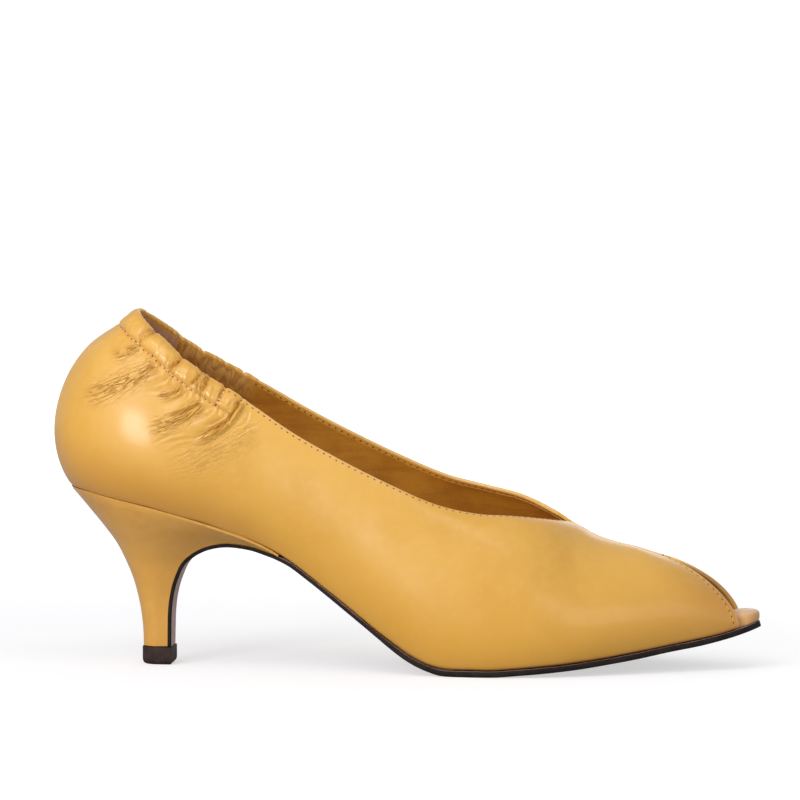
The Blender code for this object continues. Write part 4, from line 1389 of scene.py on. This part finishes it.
def top_piece_rings():
    """Rings of the stem's outline, a lip wider, with both rims rounded."""
    steps = 36
    rings = []
    for level, draw in TOP_PIECE_LEVELS:
        wide = STEM_WIDTH / 2 + TOP_PIECE_LIP - draw
        long = STEM_LENGTH + 2 * (TOP_PIECE_LIP - draw)
        begin = STEM_BACK - TOP_PIECE_LIP + draw
        shape = [stem_shape(k / steps) for k in range(steps + 1)]
        outer = [(begin + at * long, -share * wide, level) for at, share in shape]
        inner = [(begin + at * long, share * wide, level) for at, share in shape]
        rings.append(ring_of(outer, inner))
    return rings


top_piece = closed_skin("top_piece_rubber", top_piece_rings(), 9)
belongs(top_piece, "top_piece")
print("top piece:", len(top_piece.data.polygons), "faces")

# %% [markdown]
# Stitches are what makes a seam read as sewn. One stitch is a short thread, thick in the middle and
# sunk at both ends, with a dark pinhole between it and the next: a small dark body that paints the
# shade inside the needle's hole. Both are modelled once and copied along the seam, each copy turned
# to lie on the leather, and all of one kind are joined to one piece.
# The holes of the edge row are seen inside the collar too, because the needle goes right through.

# %% Places on the leather
Face = namedtuple("Face", "points ways rows")
OUTSIDE = Face(outer_face, normals, below)
INSIDE = Face(inner_face, -along_rows(normals, inner_below), inner_below)


def on_leather(s, d, face=OUTSIDE):
    """Point and way out of a face of the leather, s along the edge and d below it, in metres."""
    column = float(np.interp(s, along, columns))
    i = int(min(math.floor(column), len(stations) - 2))
    share = column - i
    found = []
    for k in (i, i + 1):
        row = np.interp(d, face.rows[k], np.arange(face.rows.shape[1]))
        j = int(min(math.floor(row), face.rows.shape[1] - 2))
        rest = row - j
        point = face.points[k, j] * (1 - rest) + face.points[k, j + 1] * rest
        normal = face.ways[k, j] * (1 - rest) + face.ways[k, j + 1] * rest
        found.append((point, normal))
    point = found[0][0] * (1 - share) + found[1][0] * share
    normal = found[0][1] * (1 - share) + found[1][1] * share
    return point, normal / np.linalg.norm(normal)


def on_peep_edge(end, inset, run):
    """A point of the leather at a distance from the open toe's edge, run metres down from the ridge."""
    i, step = (0, 1) if end < 0 else (len(stations) - 1, -1)
    row = int(np.argmin(np.abs(below[i] - run)))
    travelled = 0.0
    while travelled < inset:
        travelled += np.linalg.norm(outer_face[i + step, row] - outer_face[i, row])
        i += step
    return outer_face[i, row], normals[i, row]


def rounded_bit(name, long, wide, high):
    """A small rounded body that lies along X, as a thread or the painted shade of a hole."""
    nothing_selected()
    bpy.ops.mesh.primitive_uv_sphere_add(segments=10, ring_count=6, radius=1.0)
    made = bpy.context.object
    made.data.transform(Matrix.Rotation(math.radians(90), 4, "Y"))
    made.data.transform(Matrix.Diagonal((long / 2, wide / 2, high / 2, 1.0)))
    made.name = name
    return made


def placed_copies(name, pattern, places):
    """Copies of the pattern at (point, normal, direction), joined to one piece; removes the pattern."""
    parts = []
    for point, normal, direction in places:
        x = Vector(direction).normalized()
        z = Vector(normal)
        z = (z - x * z.dot(x)).normalized()
        y = z.cross(x)
        turn = Matrix((x, y, z)).transposed().to_4x4()
        turn.translation = Vector(point) - Vector((REST, 0.0, 0.0))
        mesh = pattern.data.copy()
        mesh.transform(turn)
        copy = bpy.data.objects.new(name, mesh)
        bpy.context.scene.collection.objects.link(copy)
        parts.append(copy)
    bpy.data.objects.remove(pattern, do_unlink=True)
    made = join(name, parts)
    smooth(made, 60)
    return made


print("the leather's outer face has", OUTSIDE.points.shape[1], "rows, its inner face",
      INSIDE.points.shape[1])

# %% Where the rows of stitches run
STITCH_PITCH = 2.4 * MM
EDGE_INSET, INSIDE_INSET = 1.3 * MM, 1.7 * MM
ROW_STARTS = {-1: 53.0 * MM, 1: 56.5 * MM}
THROAT_FREE = 4 * MM
END_ROW_AT, END_ROW_LEAN = 51.2 * MM, 1.4 * MM
END_ROW_COUNT, END_ROW_FIRST, END_ROW_PITCH = 5, 1.6 * MM, 1.45 * MM
PEEP_INSET, PEEP_MARGIN, PEEP_PITCH = 1.25 * MM, 1.2 * MM, 2.3 * MM
throat_s = float(along[int(np.argmin(np.abs(stations - (LAST + THROAT))))])


def end_row(side):
    """The short row down the tube's end, on the outer side for -1 and the inner side for 1."""
    lean = END_ROW_LEAN / (END_ROW_COUNT - 1)
    return [on_leather(side * (END_ROW_AT - lean * k), END_ROW_FIRST + END_ROW_PITCH * k)
            for k in range(END_ROW_COUNT)]


def edge_row(side, inset, face=OUTSIDE):
    """The row along the topline, from the tube's end to just before the throat."""
    stops = np.arange(ROW_STARTS[side], throat_s - THROAT_FREE, STITCH_PITCH)
    return [on_leather(side * s, inset, face) for s in stops]


def peep_row(end):
    """The row beside the open toe, on one side of it."""
    runs = np.arange(PEEP_MARGIN, total[0] - PEEP_MARGIN, PEEP_PITCH)
    return [on_peep_edge(end, PEEP_INSET, run) for run in runs]


def row_places(points, lift):
    """Middles of the stitches between neighbouring points of a row."""
    places = []
    for (a, normal_a), (b, normal_b) in zip(points, points[1:]):
        normal = normal_a + normal_b
        normal = normal / np.linalg.norm(normal)
        places.append((0.5 * (a + b) + normal * lift, normal, b - a))
    return places


def hole_places(points, lift):
    """Places of the pinholes, at the points of a row."""
    places = []
    for k, (point, normal) in enumerate(points):
        after = points[min(k + 1, len(points) - 1)][0]
        before = points[max(k - 1, 0)][0]
        places.append((point + normal * lift, normal, after - before))
    return places


seam_stops = np.arange(SEAM_START, SEAM_STOP, SEAM_PITCH)
casing_row = [on_leather(s * MM, seam_line(s) * MM) for s in seam_stops]
end_rows = [end_row(-1), end_row(1)]
edge_rows = [edge_row(-1, EDGE_INSET), edge_row(1, EDGE_INSET), peep_row(-1), peep_row(1)]
inside_rows = [edge_row(-1, INSIDE_INSET, INSIDE), edge_row(1, INSIDE_INSET, INSIDE)]
print("seam of the tube:", len(casing_row), "holes, from the throat to the slit:",
      [len(row) for row in edge_rows])

# %% Thread of the gathered tube
THREAD_LIFT, HOLE_LIFT = 0.02 * MM, 0.03 * MM
thread_places = row_places(casing_row, THREAD_LIFT)
for row in end_rows:
    thread_places += row_places(row, THREAD_LIFT)
stitch = rounded_bit("stitch", 1.70 * MM, 0.54 * MM, 0.46 * MM)
casing_thread = placed_copies("casing_stitches", stitch, thread_places)
belongs(casing_thread, None)
print(len(thread_places), "stitches on the tube")

# %% Thread along the edges, and the pinholes
EDGE_SUNK, HOLE_SUNK = 0.03 * MM, 0.02 * MM
INSIDE_LIFT = 0.04 * MM
edge_places = []
dark_places = hole_places(casing_row, HOLE_LIFT)
big_places = [place for row in end_rows for place in hole_places(row, HOLE_LIFT)]
for row in edge_rows:
    edge_places += row_places(row, -EDGE_SUNK)
    dark_places += hole_places(row, -HOLE_SUNK)
for row in inside_rows:
    dark_places += hole_places(row, INSIDE_LIFT)
edge_stitch = rounded_bit("stitch", 2.05 * MM, 0.34 * MM, 0.22 * MM)
edge_thread = placed_copies("edge_stitches", edge_stitch, edge_places)
belongs(edge_thread, None)
# The pinholes are dark bodies of painted shade, not real holes.
small_hole = rounded_bit("hole", 0.84 * MM, 0.50 * MM, 0.18 * MM)
holes = placed_copies("stitch_holes", small_hole, dark_places)
belongs(holes, None)
big_hole = rounded_bit("hole", 0.85 * MM, 0.75 * MM, 0.30 * MM)
end_holes = placed_copies("end_stitch_holes", big_hole, big_places)
belongs(end_holes, None)
print(len(edge_places), "edge stitches,", len(dark_places), "small holes and",
      len(big_places), "large ones")

# %% [markdown]
# Now the finishes. The leather is a smooth calf in a warm tan: a base colour that drifts a little
# from place to place, with painted shade in the creases, towards the sole, round the low toe, along
# the feather line and where the leather tucks under over the heel, and a painted highlight along the
# folded edge, with a fine grain that only shows in the highlights. All patterns read object
# coordinates or the sheet's own attributes and UV map, so they stay on the leather from every side.
# A picture of leather would give the same look, but noise needs no file and stays sharp when the
# camera comes close.

# %% Helpers for finishes
def linear(rgb):
    """A colour given in 0 to 255, in the light values that the shader uses."""
    shares = [c / 255 for c in rgb]
    return tuple(c / 12.92 if c <= 0.04045 else ((c + 0.055) / 1.055) ** 2.4 for c in shares) + (1.0,)


class Finish:
    """A node material built step by step."""

    def __init__(self, name, roughness, coat=0.0, specular=0.5):
        self.material = bpy.data.materials.new(name)
        self.material.use_nodes = True
        self.tree = self.material.node_tree
        self.shader = self.tree.nodes["Principled BSDF"]
        self.shader.inputs["Roughness"].default_value = roughness
        self.shader.inputs["Coat Weight"].default_value = coat
        self.shader.inputs["Coat Roughness"].default_value = 0.20
        self.shader.inputs["Specular IOR Level"].default_value = specular

    def node(self, kind, **settings):
        """A new node with its settings."""
        made = self.tree.nodes.new(kind)
        for key, value in settings.items():
            setattr(made, key, value)
        return made

    def link(self, source, target):
        """Joins an output to an input."""
        self.tree.links.new(source, target)

    def place(self, scale):
        """Object coordinates, scaled."""
        coordinates = self.node("ShaderNodeTexCoord").outputs["Object"]
        mapping = self.node("ShaderNodeMapping")
        mapping.inputs["Scale"].default_value = scale if isinstance(scale, tuple) else (scale,) * 3
        self.link(coordinates, mapping.inputs["Vector"])
        return mapping.outputs["Vector"]

    def noise(self, size, detail=2.0, rough=0.5):
        """Noise whose features are about size metres wide."""
        made = self.node("ShaderNodeTexNoise")
        made.inputs["Scale"].default_value = 1.0
        made.inputs["Detail"].default_value = detail
        made.inputs["Roughness"].default_value = rough
        scale = tuple(1.0 / s for s in size) if isinstance(size, tuple) else 1.0 / size
        self.link(self.place(scale), made.inputs["Vector"])
        return made.outputs["Fac"]

    def cells(self, size):
        """Small cells like the grain of a hide: 0 on their borders."""
        made = self.node("ShaderNodeTexVoronoi", feature="DISTANCE_TO_EDGE")
        made.inputs["Scale"].default_value = 1.0
        self.link(self.place(1.0 / size), made.inputs["Vector"])
        return made.outputs["Distance"]

    def attribute(self, name):
        """A value that is stored at the piece's vertices."""
        return self.node("ShaderNodeAttribute", attribute_name=name).outputs["Fac"]

    def spread(self, value, low, high, out_low=0.0, out_high=1.0):
        """Maps low to high softly onto the two output values."""
        made = self.node("ShaderNodeMapRange", interpolation_type="SMOOTHSTEP")
        made.inputs["From Min"].default_value = low
        made.inputs["From Max"].default_value = high
        made.inputs["To Min"].default_value = out_low
        made.inputs["To Max"].default_value = out_high
        self.link(value, made.inputs["Value"])
        return made.outputs["Result"]

    def wrinkles(self, vector, sharp):
        """Fine creases where a stretched noise crosses its middle: 0 in a valley and 1 between."""
        made = self.node("ShaderNodeTexNoise")
        made.inputs["Scale"].default_value = 1.0
        made.inputs["Detail"].default_value = 1.0
        made.inputs["Distortion"].default_value = 0.25
        self.link(vector, made.inputs["Vector"])
        centred = self.node("ShaderNodeMath", operation="SUBTRACT")
        self.link(made.outputs["Fac"], centred.inputs[0])
        centred.inputs[1].default_value = 0.5
        folded_value = self.node("ShaderNodeMath", operation="ABSOLUTE")
        self.link(centred.outputs[0], folded_value.inputs[0])
        return self.spread(folded_value.outputs[0], 0.0, sharp)

    def along_folds(self, long, wide):
        """Coordinates along and across the nearest bundle of folds, in its own lengths."""
        made = self.node("ShaderNodeCombineXYZ")
        self.link(self.times(self.attribute("fold_run"), 1.0 / long), made.inputs["X"])
        self.link(self.times(self.attribute("fold_across"), 1.0 / wide), made.inputs["Y"])
        return made.outputs["Vector"]

    def on_strip(self, long, wide):
        """Coordinates across and along the strip of leather, in lengths of their own."""
        mapping = self.node("ShaderNodeMapping")
        mapping.inputs["Scale"].default_value = (1.0 / wide, 1.0 / long, 1.0)
        self.link(self.node("ShaderNodeUVMap").outputs["UV"], mapping.inputs["Vector"])
        return mapping.outputs["Vector"]

    def times(self, a, b):
        """The product of a value with another value or a plain number."""
        made = self.node("ShaderNodeMath", operation="MULTIPLY")
        self.link(a, made.inputs[0])
        if isinstance(b, float):
            made.inputs[1].default_value = b
        else:
            self.link(b, made.inputs[1])
        return made.outputs[0]

    def mix(self, share, a, b):
        """Colour a where share is 0 and colour b where it is 1."""
        made = self.node("ShaderNodeMix", data_type="RGBA")
        colours = [s for s in made.inputs if s.type == "RGBA"]
        for socket, value in zip(colours, (a, b)):
            if isinstance(value, tuple):
                socket.default_value = value
            else:
                self.link(value, socket)
        factor = [s for s in made.inputs if s.type == "VALUE"][0]
        self.link(share, factor)
        return [s for s in made.outputs if s.type == "RGBA"][0]

    def sum(self, a, b, share_b=1.0):
        """a plus a share of b."""
        scaled = self.node("ShaderNodeMath", operation="MULTIPLY_ADD")
        self.link(b, scaled.inputs[0])
        scaled.inputs[1].default_value = share_b
        self.link(a, scaled.inputs[2])
        return scaled.outputs[0]

    def bump(self, height_value, depth, strength=1.0):
        """Lets the light see a relief that is depth metres high where the value is 1."""
        made = self.node("ShaderNodeBump")
        made.inputs["Distance"].default_value = depth
        made.inputs["Strength"].default_value = strength
        self.link(height_value, made.inputs["Height"])
        self.link(made.outputs["Normal"], self.shader.inputs["Normal"])

    def colour(self, value):
        """Sets the base colour, from a node or as one colour."""
        if isinstance(value, tuple):
            self.shader.inputs["Base Color"].default_value = value
        else:
            self.link(value, self.shader.inputs["Base Color"])

    def roughness(self, value):
        """Lets a node set the roughness."""
        self.link(value, self.shader.inputs["Roughness"])

    def put_on(self, piece, keep=False):
        """Gives the piece this finish, beside the ones it has if keep is true."""
        if not keep:
            piece.data.materials.clear()
        piece.data.materials.append(self.material)


print("finish helpers ready")

# %% Tan leather
FOLD_SHADE = (156, 88, 8)
TAN = ((226, 171, 70), (219, 162, 60), (233, 181, 92))
HEEL_TAN = ((220, 161, 68), (210, 150, 58), (228, 174, 86))
LOW_SHADE_TAN = (228, 167, 56)
TOE_SHADE_TAN = (186, 124, 56)
SEAM_TAN = (190, 128, 66)
EDGE_HIGHLIGHT_TAN = (240, 197, 128)
TUCKED_SHADE_TAN = (176, 112, 44)
FOOT_SHADE_TAN = (140, 84, 36)
RELIEF = 0.1 * MM
FOLD_LINES = ((9.0, 1.25, 0.070, 2.4), (5.0, 0.8, 0.075, 1.0))


def tan_leather(name, main, deep, pale, sheet=True):
    """Smooth calf, with the painted shade and highlight marks of the upper's sheet or, for the heel's
    cover, plain.
    """
    finish = Finish(name, 0.42)
    drift = finish.spread(finish.noise(0.030, 3.0), 0.35, 0.68)
    colour = finish.mix(drift, linear(main), linear(deep))
    mottle = finish.spread(finish.noise(0.0035, 4.0, 0.6), 0.40, 0.75, 0.0, 0.35)
    colour = finish.mix(mottle, colour, linear(pale))
    shine = finish.spread(finish.noise(0.012, 2.0), 0.3, 0.7, 0.38, 0.50)
    if sheet:
        # Painted shade: more saturated and a little darker towards the sole.
        low = finish.spread(finish.attribute("low"), 0.25, 0.95, 0.0, 0.65)
        colour = finish.mix(low, colour, linear(LOW_SHADE_TAN))
        # Painted shade low round the toe.
        toe = finish.times(finish.attribute("toe"), 0.62)
        colour = finish.mix(toe, colour, linear(TOE_SHADE_TAN))
        # Painted shade in the crease valleys, where the coat is thinner too.
        crease = finish.spread(finish.attribute("crease"), 0.25, 1.0, 0.0, 0.72)
        colour = finish.mix(crease, colour, linear(FOLD_SHADE))
        shine = finish.times(shine, finish.spread(crease, 0.0, 0.6, 1.0, 0.0))
        seam = finish.spread(finish.attribute("seam"), 0.3, 1.0, 0.0, 0.45)
        colour = finish.mix(seam, colour, linear(SEAM_TAN))
        # Painted highlight along the folded edge of the topline and the open toe.
        edge = finish.spread(finish.attribute("from_edge"), 0.0002, 0.0006, 0.45, 0.0)
        colour = finish.mix(edge, colour, linear(EDGE_HIGHLIGHT_TAN))
        # Painted shade where the leather tucks under over the heel.
        under = finish.times(finish.attribute("tucked_shade"), 0.45)
        colour = finish.mix(under, colour, linear(TUCKED_SHADE_TAN))
        # Painted shade along the feather line, where the leather turns in under the sole.
        foot = finish.spread(finish.attribute("foot"), 0.45, 1.0, 0.0, 0.35)
        colour = finish.mix(foot, colour, linear(FOOT_SHADE_TAN))
    grain = finish.times(finish.cells(0.00060), 0.22)
    pores = finish.noise(0.00022, 2.0)
    relief = finish.sum(grain, pores, 0.14)
    relief = finish.sum(relief, finish.noise(0.0016, 3.0, 0.6), 0.30)
    if sheet:
        share = finish.attribute("folds")
        for long, wide, sharp, depth in FOLD_LINES:
            lines = finish.wrinkles(finish.along_folds(long, wide), sharp)
            relief = finish.sum(relief, finish.times(lines, share), depth)
            # Painted shade in the valleys of the fine creases.
            fold_shade_share = finish.times(finish.spread(lines, 0.0, 0.8, 0.60, 0.0), share)
            colour = finish.mix(fold_shade_share, colour, linear(FOLD_SHADE))
            shine = finish.times(shine, finish.spread(fold_shade_share, 0.0, 0.6, 1.0, 0.0))
    finish.colour(colour)
    finish.link(shine, finish.shader.inputs["Coat Weight"])
    finish.bump(relief, RELIEF)
    finish.roughness(finish.spread(finish.noise(0.006, 3.0), 0.3, 0.7, 0.36, 0.47))
    return finish


tan_leather("tan_calf", *TAN).put_on(upper)
tan_leather("tan_calf_heel", *HEEL_TAN, sheet=False).put_on(heel)
print("leather finishes on upper and heel")

# %% [markdown]
# Inside, the lining is a darker and duller leather with long worn streaks, and in the casing it shows
# the upper's own leather in fine creases with painted shade in their valleys. The grip is a pinkish
# suede, so it is the roughest. The insole is a pale calf that is tanner on its sides.

# %% Linings and insole
LINING, LINING_DEEP, LINING_STREAK = (210, 144, 42), (190, 124, 30), (160, 98, 20)
CASING_TAN = (216, 164, 84)
GRIP, GRIP_DEEP = (214, 164, 128), (198, 146, 108)
INSOLE, INSOLE_DEEP, INSOLE_SIDE = (226, 188, 156), (214, 172, 138), (218, 168, 106)


def lining_leather(name, main, deep, bump_size, rough, other=None, streaks=None):
    """A plain inner leather, with another colour where the piece's own attribute says so."""
    finish = Finish(name, rough, coat=0.0)
    drift = finish.spread(finish.noise(0.012, 3.0), 0.3, 0.7)
    colour = finish.mix(drift, linear(main), linear(deep))
    fleck = finish.spread(finish.noise(0.0009, 3.0, 0.6), 0.5, 0.8, 0.0, 0.4)
    colour = finish.mix(fleck, colour, linear(tuple(min(255, c + 22) for c in main)))
    if streaks:
        streak = finish.noise((0.020, 0.010, 0.0022), 3.0, 0.6)
        colour = finish.mix(finish.spread(streak, 0.42, 0.72, 0.0, 0.40), colour, linear(streaks))
    relief = finish.sum(finish.cells(bump_size), finish.noise(bump_size * 0.4, 2.0), 0.8)
    relief = finish.times(relief, 0.4)
    if other:
        attribute, second, creased = other
        share = finish.attribute(attribute)
        colour = finish.mix(share, colour, linear(second))
        if creased:
            lines = finish.wrinkles(finish.on_strip(0.0090, 0.0030), 0.12)
            relief = finish.sum(relief, finish.times(lines, share), 1.0)
            # Painted shade in the valleys of the fine creases inside the casing.
            fold_shade_share = finish.times(finish.spread(lines, 0.0, 0.8, 0.50, 0.0), share)
            colour = finish.mix(fold_shade_share, colour, linear(FOLD_SHADE))
    finish.colour(colour)
    finish.bump(relief, RELIEF)
    return finish


lining_leather("dark_tan_lining", LINING, LINING_DEEP, 0.0007, 0.55,
               ("casing", CASING_TAN, True), LINING_STREAK).put_on(lining)
lining_leather("suede_grip", GRIP, GRIP_DEEP, 0.0004, 0.85).put_on(grip)
lining_leather("insole_calf", INSOLE, INSOLE_DEEP, 0.0008, 0.5,
               ("side", INSOLE_SIDE, False)).put_on(insole)
print("finishes on lining, grip and insole")

# %% [markdown]
# The sole is one piece with two finishes: pinkish leather on its faces and a dark painted edge. A
# second material on the faces that look sideways gives that without a second piece. The top piece is
# dull dark rubber, and the threads are a little paler than the leather they lie on.

# %% Sole and top piece
SOLE_PINK, SOLE_DEEP, SOLE_SCUFF = (208, 180, 170), (188, 158, 148), (222, 198, 188)
DARK_EDGE, DARK_RUBBER = (22, 12, 9), (42, 27, 22)


def sole_leather():
    """Smooth pinkish leather with scuffs along the sole."""
    finish = Finish("pinkish_brown_sole", 0.55, coat=0.05)
    drift = finish.spread(finish.noise(0.010, 4.0), 0.3, 0.7)
    colour = finish.mix(drift, linear(SOLE_PINK), linear(SOLE_DEEP))
    scuff = finish.spread(finish.noise((0.02, 0.0008, 0.02), 3.0), 0.55, 0.8, 0.0, 0.5)
    finish.colour(finish.mix(scuff, colour, linear(SOLE_SCUFF)))
    finish.bump(finish.noise(0.0005, 4.0), 0.00005, 0.5)
    return finish


def dark_edge(name, tone, rough):
    """A dark matt finish with fine lines around the piece."""
    finish = Finish(name, rough, specular=0.3)
    drift = finish.spread(finish.noise(0.004, 4.0), 0.3, 0.75)
    lighter = tuple(min(255, c + 18) for c in tone)
    finish.colour(finish.mix(drift, linear(tone), linear(lighter)))
    finish.bump(finish.noise((0.004, 0.004, 0.00025), 3.0), 0.00004, 0.5)
    return finish


sole_leather().put_on(outsole)
dark_edge("dark_sole_edge", DARK_EDGE, 0.75).put_on(outsole, keep=True)
for face in outsole.data.polygons:
    at_tip = face.normal.x > 0.75 and face.center.x > LENGTH / 2
    if abs(face.normal.y) > 0.35 or at_tip:
        face.material_index = 1
dark_edge("dark_rubber", DARK_RUBBER, 0.70).put_on(top_piece)
print("finishes on sole and top piece")

# %% Threads and pinholes
PALE_THREAD, TAN_THREAD = ((240, 200, 150), (222, 168, 122)), ((232, 182, 112), (218, 162, 88))
HOLE_SHADE_BROWN = (122, 66, 30)


def thread(name, tones, rough):
    """Thread in two tones that change along its twist."""
    finish = Finish(name, rough)
    twist = finish.spread(finish.noise(0.0004, 2.0), 0.35, 0.65)
    finish.colour(finish.mix(twist, linear(tones[0]), linear(tones[1])))
    return finish


thread("pale_thread", PALE_THREAD, 0.6).put_on(casing_thread)
thread("tan_thread", TAN_THREAD, 0.55).put_on(edge_thread)
# The pinholes' colour is painted shade inside the needle holes.
hole_shade = Finish("pinhole_painted_shade", 0.9)
hole_shade.colour(linear(HOLE_SHADE_BROWN))
hole_shade.put_on(holes)
hole_shade.put_on(end_holes)
print("finishes:", len(bpy.data.materials), "materials")

# %% [markdown]
# The photograph is a studio packshot: a white sweep, broad soft light and hardly any shadow. A pale
# world does most of it, and six area lights give the leather its form. The floor is a disc that
# glows for the camera only, less near the shoe, so that it looks white without lighting the shoe
# from below.

# %% Floor
FLOOR_RADIUS = 1.4
FLOOR_TONE = (0.46, 0.46, 0.48, 1.0)
FLOOR_GLOW = 0.82
# The glow near the shoe is lower: a painted shadow round the shoe.
FLOOR_SHADOW_GLOW = 0.57
NEAR_REACH, FAR_REACH = 0.10, 0.60
WHITE = (1.0, 1.0, 1.0, 1.0)
nothing_selected()
bpy.ops.mesh.primitive_circle_add(vertices=96, radius=FLOOR_RADIUS, fill_type="NGON")
floor = bpy.context.object
floor.name = "studio_floor"
floor_finish = Finish("white_floor", 0.9, specular=0.0)
floor_finish.colour(FLOOR_TONE)
floor_finish.shader.inputs["Emission Color"].default_value = WHITE
floor_seen = floor_finish.node("ShaderNodeLightPath").outputs["Is Camera Ray"]
from_shoe = floor_finish.node("ShaderNodeVectorMath", operation="LENGTH")
floor_finish.link(floor_finish.place(1.0), from_shoe.inputs[0])
distance = from_shoe.outputs["Value"]
# Painted shadow: the floor's glow drops towards the shoe.
glow = floor_finish.spread(distance, NEAR_REACH, FAR_REACH, FLOOR_SHADOW_GLOW, FLOOR_GLOW)
floor_finish.link(floor_finish.times(glow, floor_seen), floor_finish.shader.inputs["Emission Strength"])
floor_finish.put_on(floor)
print("floor of radius", FLOOR_RADIUS, "m")

# %% World
SKY_LIGHT = 0.48
SKY_SEEN = 1.05
scene = bpy.context.scene
world = bpy.data.worlds.new("studio")
scene.world = world
world.use_nodes = True
sky = world.node_tree.nodes["Background"]
sky.inputs["Color"].default_value = WHITE
seen = world.node_tree.nodes.new("ShaderNodeLightPath")
strength = world.node_tree.nodes.new("ShaderNodeMapRange")
strength.inputs["To Min"].default_value = SKY_LIGHT
strength.inputs["To Max"].default_value = SKY_SEEN
world.node_tree.links.new(seen.outputs["Is Camera Ray"], strength.inputs["Value"])
world.node_tree.links.new(strength.outputs["Result"], sky.inputs["Strength"])
scene.view_settings.view_transform = "Standard"
print("world gives", SKY_LIGHT, "and is seen as", SKY_SEEN)

# %% Area lights
AreaLight = namedtuple("AreaLight", "name at aim size power")
LIGHTS = (
    AreaLight("key_softbox", (-0.42, -1.0, 1.25), (0.05, 0.0, 0.06), 0.8, 7.5),
    AreaLight("low_softbox", (-0.52, -1.05, 0.36), (0.02, 0.0, 0.06), 0.35, 5.4),
    AreaLight("back_softbox", (0.3, 1.5, 0.35), (0.05, 0.0, 0.05), 0.9, 3.0),
    AreaLight("front_softbox", (1.05, -0.90, 0.60), (0.14, 0.0, 0.02), 0.6, 1.6),
    AreaLight("top_softbox", (0.34, -0.48, 1.25), (0.05, 0.0, 0.08), 0.5, 1.6),
    AreaLight("rear_softbox", (-1.15, -0.45, 0.85), (-0.02, 0.0, 0.08), 0.7, 1.6),
)
for row in LIGHTS:
    lamp = bpy.data.lights.new(row.name, "AREA")
    lamp.size = row.size
    lamp.energy = row.power
    holder = bpy.data.objects.new(row.name, lamp)
    holder.location = row.at
    holder.rotation_euler = (Vector(row.aim) - Vector(row.at)).to_track_quat("-Z", "Y").to_euler()
    scene.collection.objects.link(holder)
print(len(LIGHTS), "area lights")

# %% [markdown]
# The camera looks at the outer side from a little above and a little in front. It stands far away
# with a long lens, so the shoe is hardly bent by perspective, like in a catalogue.

# %% Camera
CAMERA_AIM = Vector((0.0830, 0.0, 0.0908))
CAMERA_AZIMUTH = math.radians(5.0)
CAMERA_RISE = math.radians(4.3)
CAMERA_DISTANCE = 2.5
CAMERA_LENS, SENSOR_WIDTH = 330, 36
camera = bpy.data.objects.new("camera", bpy.data.cameras.new("camera"))
scene.collection.objects.link(camera)
camera.location = CAMERA_AIM + CAMERA_DISTANCE * Vector((
    math.sin(CAMERA_AZIMUTH) * math.cos(CAMERA_RISE),
    -math.cos(CAMERA_AZIMUTH) * math.cos(CAMERA_RISE),
    math.sin(CAMERA_RISE)))
camera.rotation_euler = (math.radians(90) - CAMERA_RISE, 0.0, CAMERA_AZIMUTH)
camera.data.lens = CAMERA_LENS
camera.data.sensor_width = SENSOR_WIDTH
scene.camera = camera
print("camera", [round(v, 3) for v in camera.location])
